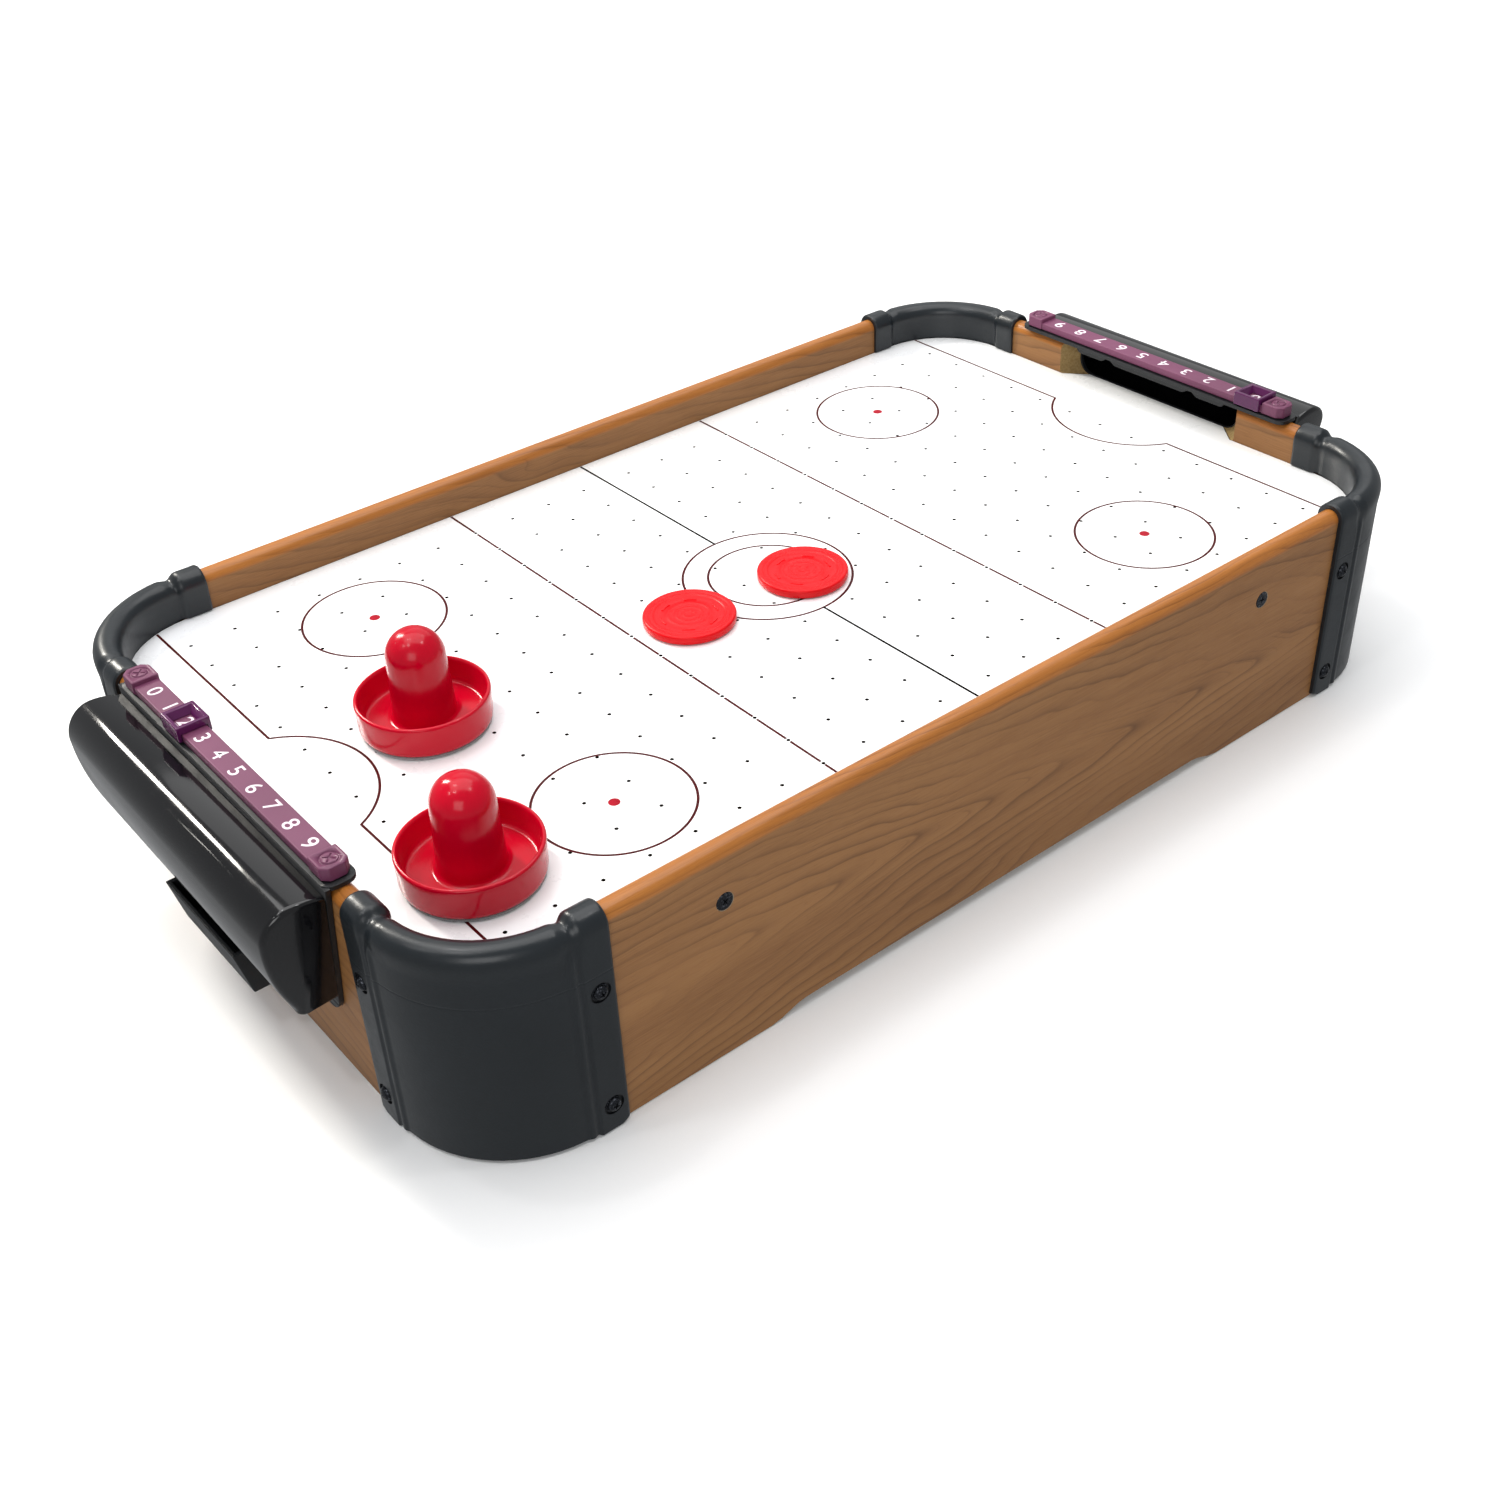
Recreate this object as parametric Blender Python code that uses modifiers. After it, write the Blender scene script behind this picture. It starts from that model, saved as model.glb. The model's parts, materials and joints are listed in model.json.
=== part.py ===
"""Tabletop air hockey table: a wood-board rink over an air chamber with a battery fan.

Frame: metres, +Z up, +X along the table towards the far goal, +Y towards the left side wall
(seen from the near goal). The origin is on the surface the table stands on, under its middle.
"""
import math

import bmesh
import bpy
from mathutils import Matrix, Vector

MM = 0.001
GAP = 0.3 * MM

# Driving dimensions
LENGTH = 508 * MM
WIDTH = 302 * MM
BOARD = 9 * MM
WALL_TOP = 94 * MM
FIELD_TOP = 77 * MM
FIELD_T = 3 * MM
PITCH = 20 * MM
AIR_HOLE_R = 0.75 * MM
HOLE_ROWS = 11
HOLE_COLUMNS = 6
FIRST_ROW = 0.656 * PITCH
ARCH_RISE = 4 * MM
ARCH_FOOT_X = 125 * MM
ARCH_TOP_X = 110 * MM

OUT_X = LENGTH / 2
IN_X = OUT_X - BOARD
OUT_Y = WIDTH / 2
IN_Y = OUT_Y - BOARD

# Corner posts: a hollow section swept round a quarter circle over the ends of two boards
CORNER_R = 44 * MM
CORNER_X = OUT_X - BOARD / 2 - CORNER_R
CORNER_Y = OUT_Y - BOARD / 2 - CORNER_R
SLEEVE_L = 12.5 * MM
SLEEVE_OUT = 6.8 * MM
CORNER_SCREW_Z = (12 * MM, 64.5 * MM)
CORNER_SCREW_BACK = 6.3 * MM

# Battens and the air chamber's floor
BATTEN_X = 145 * MM
BATTEN_T = 12 * MM
NOTCH_W = 48 * MM
NOTCH_H = 12 * MM
NOTCH_STEP = 85 * MM
SIDE_HOLE_R = 1.9 * MM
FLOOR_T = 3 * MM
FLOOR_TOP = 49 * MM
SIDE_SCREW_Z = 71 * MM

# Goals
MOUTH_IN = 56 * MM
MOUTH_OUT = 47 * MM
MOUTH_LOW = FIELD_TOP - FIELD_T - GAP
MOUTH_HIGH = 90 * MM
FLANGE_Z = 96 * MM
FLANGE_T = 1.7 * MM
LIP_LOW = 91 * MM
LIP_T = 1.8 * MM
LIP_NOTCH_Y = 26 * MM
LIP_NOTCH = (5 * MM, 2 * MM)
PLATE_LOW = 32 * MM
PLATE_R = 8 * MM
RAMP_T = 13.5 * MM
GOAL_HALF = 82 * MM
PLATE_T = 2 * MM
PLATE_FACE = OUT_X + GAP + PLATE_T
COVER_T = 2.2 * MM
COVER_HIGH = 92 * MM
COVER_X = OUT_X + 14.5 * MM
COVER_Z = 82.8 * MM
COVER_NOSE_R = 12.2 * MM
COVER_CURVE = 6.2
DRAFT = 0.17

# Score scales
DIGIT_STEP = 13.7 * MM
SCALE_X = OUT_X - BOARD / 2
SCALE_W = 10 * MM
SCALE_H = 3.5 * MM
BLOCK_H = 5.4 * MM
BLOCK_L = 11 * MM
SLIDER_L = 14.4 * MM
SLIDER_H = 6.8 * MM
SLIDER_SKIRT = 1.4 * MM
NEAR_SCORE = 2
FAR_SCORE = 0

# Pucks and mallets
PUCK_R = 19.7 * MM
PUCK_H = 4 * MM
PUCKS = {"puck_a": (-48.2 * MM, -7.2 * MM), "puck_b": (10.1 * MM, -11.6 * MM)}
MALLET_R = 26.4 * MM
MALLET_RIM = 13 * MM
MALLET_H = 41 * MM
FELT_T = 1 * MM
MALLETS = {"mallet_a": (-168.8 * MM, 3.5 * MM), "mallet_b": (-204.6 * MM, -87.6 * MM)}

# Fan
FAN_HOLE_R = 37 * MM
FAN_FLANGE_R = 52 * MM
FAN_R_OUT = 41 * MM
FAN_R_IN = 38.5 * MM
FAN_BOTTOM = 13 * MM
GRILLE_T = 2.4 * MM
MOTOR_R = 10 * MM
MOTOR_TOP = 33 * MM
SHAFT_R = 1 * MM
IMPELLER_Z = (35 * MM, 43 * MM)
BLADE_R = 35.5 * MM
BLADES = 7

# Battery box
BOX_X = (-176 * MM, -56 * MM)
BOX_Y = 20 * MM
BOX_Z = (22 * MM, FLOOR_TOP - FLOOR_T - GAP)
BAY_X = (-173.5 * MM, -69 * MM)
BAY_Y = 15.6 * MM
BAY_TOP = 43.6 * MM
DOOR_Z = (24 * MM, 26.2 * MM)
DOOR_Y = 18 * MM
CELL_R = 7.15 * MM
CELL_L = 50 * MM
SWITCH_X = -62 * MM
SWITCH_REACH = 2 * MM

PARTS = "air_hockey_table"
CUTTERS = "cutters"


# ---------------------------------------------------------------- scene helpers

def clear_scene():
    for item in list(bpy.data.objects):
        bpy.data.objects.remove(item, do_unlink=True)
    for name in (PARTS, CUTTERS):
        collection = bpy.data.collections.get(name) or bpy.data.collections.new(name)
        if name not in bpy.context.scene.collection.children:
            bpy.context.scene.collection.children.link(collection)


def material(name, colour, roughness, metallic=0.0):
    made = bpy.data.materials.get(name)
    if made:
        return made
    made = bpy.data.materials.new(name)
    made.use_nodes = True
    shader = made.node_tree.nodes["Principled BSDF"]
    shader.inputs["Base Color"].default_value = (*colour, 1.0)
    shader.inputs["Roughness"].default_value = roughness
    shader.inputs["Metallic"].default_value = metallic
    return made


def wood():
    return material("wood_board", (0.42, 0.22, 0.09), 0.45)


def white_board():
    return material("white_board", (0.86, 0.87, 0.88), 0.25)


def hardboard():
    return material("hardboard", (0.30, 0.20, 0.12), 0.7)


def black_satin():
    return material("black_satin", (0.02, 0.022, 0.024), 0.35)


def black_gloss():
    return material("black_gloss", (0.012, 0.012, 0.014), 0.12)


def purple():
    return material("purple_plastic", (0.12, 0.03, 0.10), 0.4)


def dark_purple():
    return material("dark_purple_plastic", (0.07, 0.01, 0.07), 0.2)


def puck_red():
    return material("puck_red", (0.75, 0.02, 0.03), 0.3)


def mallet_red():
    return material("mallet_red", (0.60, 0.01, 0.03), 0.2)


def grey_felt():
    return material("grey_felt", (0.35, 0.35, 0.36), 0.95)


def steel():
    return material("steel", (0.55, 0.56, 0.58), 0.3, 1.0)


def black_steel():
    return material("black_steel", (0.03, 0.03, 0.032), 0.3, 0.8)


def cell_wrap():
    return material("cell_wrap", (0.05, 0.12, 0.30), 0.4)


def collect(item, collection):
    for other in list(item.users_collection):
        other.objects.unlink(item)
    bpy.data.collections[collection].objects.link(item)


def from_bmesh(name, bm):
    bmesh.ops.recalc_face_normals(bm, faces=bm.faces)
    mesh = bpy.data.meshes.new(name)
    bm.to_mesh(mesh)
    bm.free()
    item = bpy.data.objects.new(name, mesh)
    bpy.context.scene.collection.objects.link(item)
    return item


def as_mesh(item, name=None):
    """The evaluated shape of a curve or of an object with modifiers, as a plain mesh object."""
    name = name or item.name
    bpy.context.view_layer.update()
    graph = bpy.context.evaluated_depsgraph_get()
    mesh = bpy.data.meshes.new_from_object(item.evaluated_get(graph))
    place = item.matrix_world.copy()
    bpy.data.objects.remove(item, do_unlink=True)
    bm = bmesh.new()
    bm.from_mesh(mesh)
    bmesh.ops.remove_doubles(bm, verts=bm.verts, dist=1e-6)
    made = from_bmesh(name, bm)
    made.matrix_world = place
    return made


def bake(item):
    """Put an object's placement into its mesh, so that its origin is the row's origin."""
    item.data.transform(item.matrix_world)
    item.matrix_world = Matrix.Identity(4)
    bm = bmesh.new()
    bm.from_mesh(item.data)
    bmesh.ops.recalc_face_normals(bm, faces=bm.faces)
    bm.to_mesh(item.data)
    bm.free()
    return item


def box(name, x, y, z):
    bm = bmesh.new()
    bmesh.ops.create_cube(bm, size=1.0)
    size = Vector((x[1] - x[0], y[1] - y[0], z[1] - z[0]))
    middle = Vector(((x[0] + x[1]) / 2, (y[0] + y[1]) / 2, (z[0] + z[1]) / 2))
    bmesh.ops.transform(bm, matrix=Matrix.Translation(middle) @ Matrix.Diagonal((*size, 1.0)), verts=bm.verts)
    return from_bmesh(name, bm)


def cylinder(name, radius, ends, axis="Z", at=(0.0, 0.0), sides=12, top=None):
    """A cylinder, or a cone when top is given, along an axis; at is its place on the other two axes."""
    bm = bmesh.new()
    bmesh.ops.create_cone(bm, cap_ends=True, segments=sides, radius1=radius,
                          radius2=radius if top is None else top, depth=ends[1] - ends[0])
    middle = (ends[0] + ends[1]) / 2
    if axis == "Z":
        place = Matrix.Translation((at[0], at[1], middle))
    elif axis == "Y":
        place = Matrix.Translation((at[0], middle, at[1])) @ Matrix.Rotation(-math.pi / 2, 4, "X")
    else:
        place = Matrix.Translation((middle, at[0], at[1])) @ Matrix.Rotation(math.pi / 2, 4, "Y")
    bmesh.ops.transform(bm, matrix=place, verts=bm.verts)
    return from_bmesh(name, bm)


def outline(name, loops, thickness, place=None):
    """A flat outline in its own XY plane, given thickness along its Z, with holes as extra loops."""
    curve = bpy.data.curves.new(name, "CURVE")
    curve.dimensions = "2D"
    curve.fill_mode = "BOTH"
    curve.extrude = thickness / 2
    for loop in loops:
        spline = curve.splines.new("POLY")
        spline.points.add(len(loop) - 1)
        for point, (u, v) in zip(spline.points, loop):
            point.co = (u, v, 0.0, 1.0)
        spline.use_cyclic_u = True
    item = bpy.data.objects.new(name, curve)
    bpy.context.scene.collection.objects.link(item)
    item.matrix_world = place or Matrix.Identity(4)
    return bake(as_mesh(item))


def turned(name, profile, steps=24):
    """A solid of revolution about Z from (radius, height) points that start and end on the axis."""
    bm = bmesh.new()
    verts = [bm.verts.new((r, 0.0, z)) for r, z in profile]
    for a, b in zip(verts, verts[1:]):
        bm.edges.new((a, b))
    mesh = bpy.data.meshes.new(name)
    bm.to_mesh(mesh)
    bm.free()
    item = bpy.data.objects.new(name, mesh)
    bpy.context.scene.collection.objects.link(item)
    screw = item.modifiers.new("turn", "SCREW")
    screw.axis = "Z"
    screw.steps = steps
    screw.render_steps = steps
    screw.use_merge_vertices = True
    screw.merge_threshold = 1e-5
    return bake(as_mesh(item))


def arc(centre, radius, start, end, steps):
    """Points of an arc in degrees, both ends included."""
    angles = [math.radians(start + (end - start) * i / steps) for i in range(steps + 1)]
    return [(centre[0] + radius * math.cos(a), centre[1] + radius * math.sin(a)) for a in angles]


def rounded_rectangle(half_x, half_y, radius, steps=3):
    points = []
    for quarter, (sx, sy) in enumerate(((1, 1), (-1, 1), (-1, -1), (1, -1))):
        centre = (sx * (half_x - radius), sy * (half_y - radius))
        points += arc(centre, radius, 90 * quarter, 90 * quarter + 90, steps)
    return points


def combine(item, others, operation="DIFFERENCE"):
    """Cut the others out of an item, or join them to it, and remove them."""
    for other in others:
        collect(other, CUTTERS)
        other.hide_render = True
        other.display_type = "WIRE"
        modifier = item.modifiers.new(other.name, "BOOLEAN")
        modifier.operation = operation
        modifier.solver = "EXACT"
        modifier.object = other
        item = as_mesh(item)
        bpy.data.objects.remove(other, do_unlink=True)
    return item


def union(item, others):
    return combine(item, others, "UNION")


def finish(item, look, smooth=None):
    collect(item, PARTS)
    item.data.materials.clear()
    item.data.materials.append(look)
    if smooth:
        item.data.shade_smooth()
        item.data.set_sharp_from_angle(angle=math.radians(smooth))
    return item


def set_origin(item, point):
    """Move an object's origin to a point on its joint axis; the shape stays where it is."""
    item.data.transform(Matrix.Translation(-Vector(point)))
    item.location = point
    return item


def mirrored(item, name, x=1, y=1):
    """A copy on the other side of the table, as its own object."""
    mesh = item.data.copy()
    mesh.transform(Matrix.Diagonal((x, y, 1, 1)))
    if x * y < 0:
        mesh.flip_normals()
    made = bpy.data.objects.new(name, mesh)
    bpy.data.collections[PARTS].objects.link(made)
    return made


# ---------------------------------------------------------------- walls

def corner_screw_places():
    """Each corner screw as (name, axis, side x, side y, height): two on each board end."""
    back_x = CORNER_X - CORNER_SCREW_BACK
    back_y = CORNER_Y - CORNER_SCREW_BACK
    places = []
    for sx, end in ((-1, "near"), (1, "far")):
        for sy, side in ((-1, "right"), (1, "left")):
            for level, z in zip(("low", "high"), CORNER_SCREW_Z):
                stem = f"corner_screw_{end}_{side}"
                places.append((f"{stem}_side_{level}", "Y", sx * back_x, sy, z))
                places.append((f"{stem}_end_{level}", "X", sx, sy * back_y, z))
    return places


def screw_holes(axis, sides, radius=1.8 * MM, depth=8 * MM):
    """Cutters for the corner screws whose axis is X or Y, on the sides listed as signs (x, y)."""
    holes = []
    for name, way, x, y, z in corner_screw_places():
        if way != axis or (math.copysign(1, x), math.copysign(1, y)) not in sides:
            continue
        if axis == "Y":
            ends = sorted((y * (OUT_Y - depth), y * (OUT_Y + 12 * MM)))
            holes.append(cylinder("hole", radius, ends, "Y", (x, z), 8))
        else:
            ends = sorted((x * (OUT_X - depth), x * (OUT_X + 12 * MM)))
            holes.append(cylinder("hole", radius, ends, "X", (y, z), 8))
    return holes


def board(name, length, inner, outer, axis):
    """A wall board on edge, with its top edge rounded to a half circle."""
    middle = (inner + outer) / 2
    half = (outer - inner) / 2
    section = [(inner, 0.0), (outer, 0.0)] + arc((middle, WALL_TOP - half), half, 0, 180, 6)
    if axis == "X":
        place = Matrix(((0, 0, 1, 0), (1, 0, 0, 0), (0, 1, 0, 0), (0, 0, 0, 1)))
    else:
        place = Matrix(((1, 0, 0, 0), (0, 0, -1, 0), (0, 1, 0, 0), (0, 0, 0, 1)))
    return outline(name, [section], length, place)


def side_wall():
    """The right side board: a shallow arch below, and holes for its six screws."""
    item = board("side_wall_right", 2 * (CORNER_X - GAP), -OUT_Y, -IN_Y, "X")
    arch = [(-ARCH_FOOT_X, -ARCH_RISE), (ARCH_FOOT_X, -ARCH_RISE), (ARCH_FOOT_X, 0.0),
            (ARCH_TOP_X, ARCH_RISE), (-ARCH_TOP_X, ARCH_RISE), (-ARCH_FOOT_X, 0.0)]
    place = Matrix.Translation((0, -OUT_Y, 0)) @ Matrix.Rotation(math.pi / 2, 4, "X")
    cutters = [outline("arch", [arch], 4 * BOARD, place)]
    cutters += screw_holes("Y", ((-1, -1), (1, -1)))
    for sx in (-1, 1):
        at = (sx * BATTEN_X, SIDE_SCREW_Z)
        cutters.append(cylinder("hole", SIDE_HOLE_R, (-OUT_Y - BOARD, -IN_Y + BOARD), "Y", at, 8))
        sink = (-OUT_Y - 1 * MM, -OUT_Y + 3 * MM)
        cutters.append(cylinder("sink", 5.1 * MM, sink, "Y", at, 12, 1.1 * MM))
    return finish(combine(item, cutters), wood(), 30)


def end_wall():
    """The near end board: open at the top for the goal mouth, whose ends splay towards the rink."""
    item = board("end_wall_near", 2 * (CORNER_Y - GAP), -OUT_X, -IN_X, "Y")
    splay = (MOUTH_IN - MOUTH_OUT) / BOARD
    over = 1 * MM
    mouth = [(-OUT_X - over, -MOUTH_OUT + over * splay), (-IN_X + over, -MOUTH_IN - over * splay),
             (-IN_X + over, MOUTH_IN + over * splay), (-OUT_X - over, MOUTH_OUT - over * splay)]
    height = WALL_TOP - MOUTH_LOW + BOARD
    place = Matrix.Translation((0, 0, MOUTH_LOW + height / 2))
    cutters = [outline("mouth", [mouth], height, place)]
    cutters += screw_holes("X", ((-1, -1), (-1, 1)))
    return finish(combine(item, cutters), wood(), 30)


def corner_section(inner, outer, top, skin, lift):
    """The hollow section of a corner as (offset from the boards' middle, height) points."""
    middle = (inner + outer) / 2
    half = (outer - inner) / 2
    roof = arc((middle, top - half), half, 0, 180, 6)
    under = arc((middle, top - half), half - skin, 180, 0, 6)
    inner_foot = FIELD_TOP + GAP + lift / 2
    return [(outer, lift)] + roof + [(inner, inner_foot), (inner + skin, inner_foot)] + under + [(outer - skin, lift)]


def loft(name, rings):
    """A closed solid through rings of points with equal counts, capped at both ends."""
    bm = bmesh.new()
    loops = [[bm.verts.new(point) for point in ring] for ring in rings]
    count = len(loops[0])
    for a, b in zip(loops, loops[1:]):
        for i in range(count):
            j = (i + 1) % count
            bm.faces.new((a[i], a[j], b[j], b[i]))
    bm.faces.new(loops[0])
    bm.faces.new(loops[-1])
    return from_bmesh(name, bm)


def corner():
    """The far left corner: a section swept round a quarter circle, with a thicker sleeve at each end."""
    body = corner_section(-5.4 * MM, 6 * MM, 95.2 * MM, 1.9 * MM, 0.8 * MM)
    sleeve = corner_section(-6.6 * MM, SLEEVE_OUT, 96.6 * MM, 1.7 * MM, 0.0)
    steps = 7

    def ring(section, angle, along=0.0):
        nx, ny = math.cos(angle), math.sin(angle)
        px = CORNER_X + CORNER_R * nx + along * ny
        py = CORNER_Y + CORNER_R * ny - along * nx
        return [(px + nx * s, py + ny * s, z) for s, z in section]

    rings = [ring(sleeve, 0.0, SLEEVE_L), ring(sleeve, 0.0)]
    rings += [ring(body, math.pi / 2 * i / steps) for i in range(steps + 1)]
    rings += [ring(sleeve, math.pi / 2), ring(sleeve, math.pi / 2, -SLEEVE_L)]
    item = loft("corner_far_left", rings)
    item = combine(item, screw_holes("X", ((1, 1),)) + screw_holes("Y", ((1, 1),)))
    return finish(item, black_satin(), 35)


def build_walls():
    right = side_wall()
    mirrored(right, "side_wall_left", y=-1)
    near = end_wall()
    mirrored(near, "end_wall_far", x=-1)
    post = corner()
    mirrored(post, "corner_far_right", y=-1)
    mirrored(post, "corner_near_left", x=-1)
    mirrored(post, "corner_near_right", x=-1, y=-1)


# ---------------------------------------------------------------- playfield and air chamber

def air_hole_places():
    """Centres of the square grid of air holes: 22 rows of 13, with a gap at the centre line."""
    places = []
    for row in range(HOLE_ROWS):
        for sign in (-1, 1):
            for column in range(-HOLE_COLUMNS, HOLE_COLUMNS + 1):
                places.append((sign * (FIRST_ROW + row * PITCH), column * PITCH))
    return places


def sheet_outline():
    radius = CORNER_R - BOARD / 2 - GAP
    return rounded_rectangle(IN_X - GAP, IN_Y - GAP, radius, 6)


def playfield():
    """The white sheet with its air holes; a tab at each end reaches through the goal mouth."""
    tab = [(IN_X - GAP, MOUTH_IN - 2 * GAP), (OUT_X - GAP, MOUTH_OUT - 2 * GAP)]
    far = [(x, -y) for x, y in tab] + [(x, y) for x, y in reversed(tab)]
    near = [(-x, y) for x, y in tab] + [(-x, -y) for x, y in reversed(tab)]
    edge = sheet_outline()
    half = len(edge) // 2
    loops = [edge[:half] + near + edge[half:] + far]
    for x, y in air_hole_places():
        loops.append([(x + AIR_HOLE_R, y), (x, y + AIR_HOLE_R), (x - AIR_HOLE_R, y), (x, y - AIR_HOLE_R)])
    place = Matrix.Translation((0, 0, FIELD_TOP - FIELD_T / 2))
    return finish(outline("playfield", loops, FIELD_T, place), white_board())


def chamber_floor():
    """The air chamber's floor, with the round hole that the fan blows through."""
    hole = arc((0, 0), FAN_HOLE_R, 0, 345, 23)
    place = Matrix.Translation((0, 0, FLOOR_TOP - FLOOR_T / 2))
    return finish(outline("chamber_floor", [sheet_outline(), hole], FLOOR_T, place), hardboard())


def batten(name, x):
    """A cross batten between the side walls, with three air notches and a screw hole in each end."""
    top = FIELD_TOP - FIELD_T - GAP
    half_y = IN_Y - GAP
    item = box(name, (x - BATTEN_T / 2, x + BATTEN_T / 2), (-half_y, half_y), (FLOOR_TOP + GAP, top))
    cutters = []
    for middle in (-NOTCH_STEP, 0.0, NOTCH_STEP):
        cutters.append(box("notch", (x - BATTEN_T, x + BATTEN_T), (middle - NOTCH_W / 2, middle + NOTCH_W / 2),
                           (FLOOR_TOP - GAP, FLOOR_TOP + NOTCH_H)))
    for sy in (-1, 1):
        ends = sorted((sy * (half_y - 14 * MM), sy * (half_y + BOARD)))
        cutters.append(cylinder("hole", SIDE_HOLE_R, ends, "Y", (x, SIDE_SCREW_Z), 8))
    return finish(combine(item, cutters), hardboard())


def build_chamber():
    playfield()
    chamber_floor()
    batten("batten_near", -BATTEN_X)
    batten("batten_far", BATTEN_X)


# ---------------------------------------------------------------- goals (the far one; X is outwards)

def drafted(item, top, half_top):
    """Draw an item's ends in towards the bottom, as the goal mouldings are."""
    for vert in item.data.vertices:
        scale = (half_top - DRAFT * (top - vert.co.z)) / half_top
        vert.co.y *= scale
    return item


def cover_profile(inset):
    """The goal cover's section as (x, z): a domed top, a round nose, and a front that curves in below."""
    back = PLATE_FACE + GAP
    radius = COVER_NOSE_R - inset
    crown = COVER_Z + radius
    front = [(back, crown - 2.4 * MM), (OUT_X + 8 * MM, crown - 0.5 * MM)]
    front += arc((COVER_X, COVER_Z), radius, 90, 0, 6)
    for drop in (10 * MM, 20 * MM, 30 * MM, 38 * MM):
        front.append((COVER_X + radius - COVER_CURVE * drop * drop, COVER_Z - drop))
    foot = COVER_Z - 41 * MM + inset
    return front + [(OUT_X + 15.8 * MM - inset, foot), (back, foot - 0.5 * MM)]


def goal_cover():
    """The glossy cover over the goal mouth: a drafted shell, open to the wall and below."""
    place = Matrix(((1, 0, 0, 0), (0, 0, -1, 0), (0, 1, 0, 0), (0, 0, 0, 1)))
    shell = outline("goal_cover_far", [cover_profile(0)], 2 * GOAL_HALF, place)
    hollow = cover_profile(COVER_T)
    back = PLATE_FACE - 5 * MM
    open_low = 30 * MM
    hollow = [(back, hollow[0][1])] + hollow[:-2] + [(OUT_X + 12 * MM, open_low), (back, open_low)]
    inner = outline("hollow", [hollow], 2 * (GOAL_HALF - COVER_T), place)
    drafted(shell, COVER_HIGH, GOAL_HALF)
    drafted(inner, COVER_HIGH, GOAL_HALF - COVER_T)
    return finish(combine(shell, [inner]), black_gloss(), 35)


def goal_bracket():
    """The black moulding on the end wall: back plate, top flange, wavy lip and two puck ramps."""
    flange_bottom = FLANGE_Z - FLANGE_T
    half = GOAL_HALF + 1 * MM
    foot = half - DRAFT * (FLANGE_Z - PLATE_LOW) - PLATE_R
    plate = [(half, FLANGE_Z - 0.6 * MM), (-half, FLANGE_Z - 0.6 * MM)]
    plate += arc((-foot, PLATE_LOW + PLATE_R), PLATE_R, 190, 270, 4)
    plate += arc((foot, PLATE_LOW + PLATE_R), PLATE_R, 270, 350, 4)

    def facing(x):
        return Matrix(((0, 0, 1, x), (1, 0, 0, 0), (0, 1, 0, 0), (0, 0, 0, 1)))

    item = outline("goal_bracket_far", [plate], PLATE_T, facing(OUT_X + GAP + PLATE_T / 2))
    mouth = box("mouth", (OUT_X - BOARD, OUT_X + BOARD), (-MOUTH_OUT, MOUTH_OUT), (FIELD_TOP - GAP, MOUTH_HIGH))
    item = combine(item, [mouth])
    reach = (IN_X - 2 * MM, PLATE_FACE - 0.2 * MM)
    flange = outline("flange", [rounded_rectangle((reach[1] - reach[0]) / 2, half, 4 * MM)], FLANGE_T,
                     Matrix.Translation((sum(reach) / 2, 0, FLANGE_Z - FLANGE_T / 2)))
    lip_top = flange_bottom + 0.5 * MM
    lip_end = LIP_LOW + LIP_NOTCH[1] / 2
    wave = [(MOUTH_OUT, lip_top), (-MOUTH_OUT, lip_top), (-MOUTH_OUT, lip_end)]
    for centre in (-LIP_NOTCH_Y, LIP_NOTCH_Y):
        for u, v in arc((0, 0), 1, 180, 0, 6):
            wave.append((centre + LIP_NOTCH[0] * u, LIP_LOW + LIP_NOTCH[1] * v))
    wave.append((MOUTH_OUT, lip_end))
    lip = outline("lip", [wave], LIP_T, facing(IN_X + LIP_T / 2 + 1.5 * MM))
    ramps = []
    for side in (-1, 1):
        rib = [(side * 70 * MM, 62 * MM), (side * 31 * MM, 47.5 * MM),
               (side * 31 * MM, 45.5 * MM), (side * 70 * MM, 60 * MM)]
        ramps.append(outline("ramp", [rib], RAMP_T, facing(OUT_X + 1 * MM + RAMP_T / 2)))
    return finish(union(item, [flange, lip] + ramps), black_satin(), 30)


def puck_tray():
    """The open-topped tray below the cover, where a scored puck lands."""
    back = PLATE_FACE + GAP
    rim_x = OUT_X + 21 * MM
    foot_x = OUT_X + 16.5 * MM
    z = (21 * MM, 41.2 * MM)
    place = Matrix(((1, 0, 0, 0), (0, 0, -1, 0), (0, 1, 0, 0), (0, 0, 0, 1)))
    side = [(back, z[0]), (foot_x, z[0]), (rim_x, z[1]), (back, z[1])]
    item = outline("puck_tray_far", [side], 57 * MM, place)
    skin = 1.8 * MM
    inside = [(back + skin, z[0] + skin), (foot_x - skin, z[0] + skin),
              (rim_x - skin + 0.25 * MM, z[1] + skin), (back + skin, z[1] + skin)]
    hollow = outline("hollow", [inside], 57 * MM - 2 * skin, place)
    return finish(combine(item, [hollow]), black_satin())


def digit_y(number, end):
    """The place of a digit on a scale; 0 is on the left of the player at that end."""
    return end * (number - 4.5) * DIGIT_STEP


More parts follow.
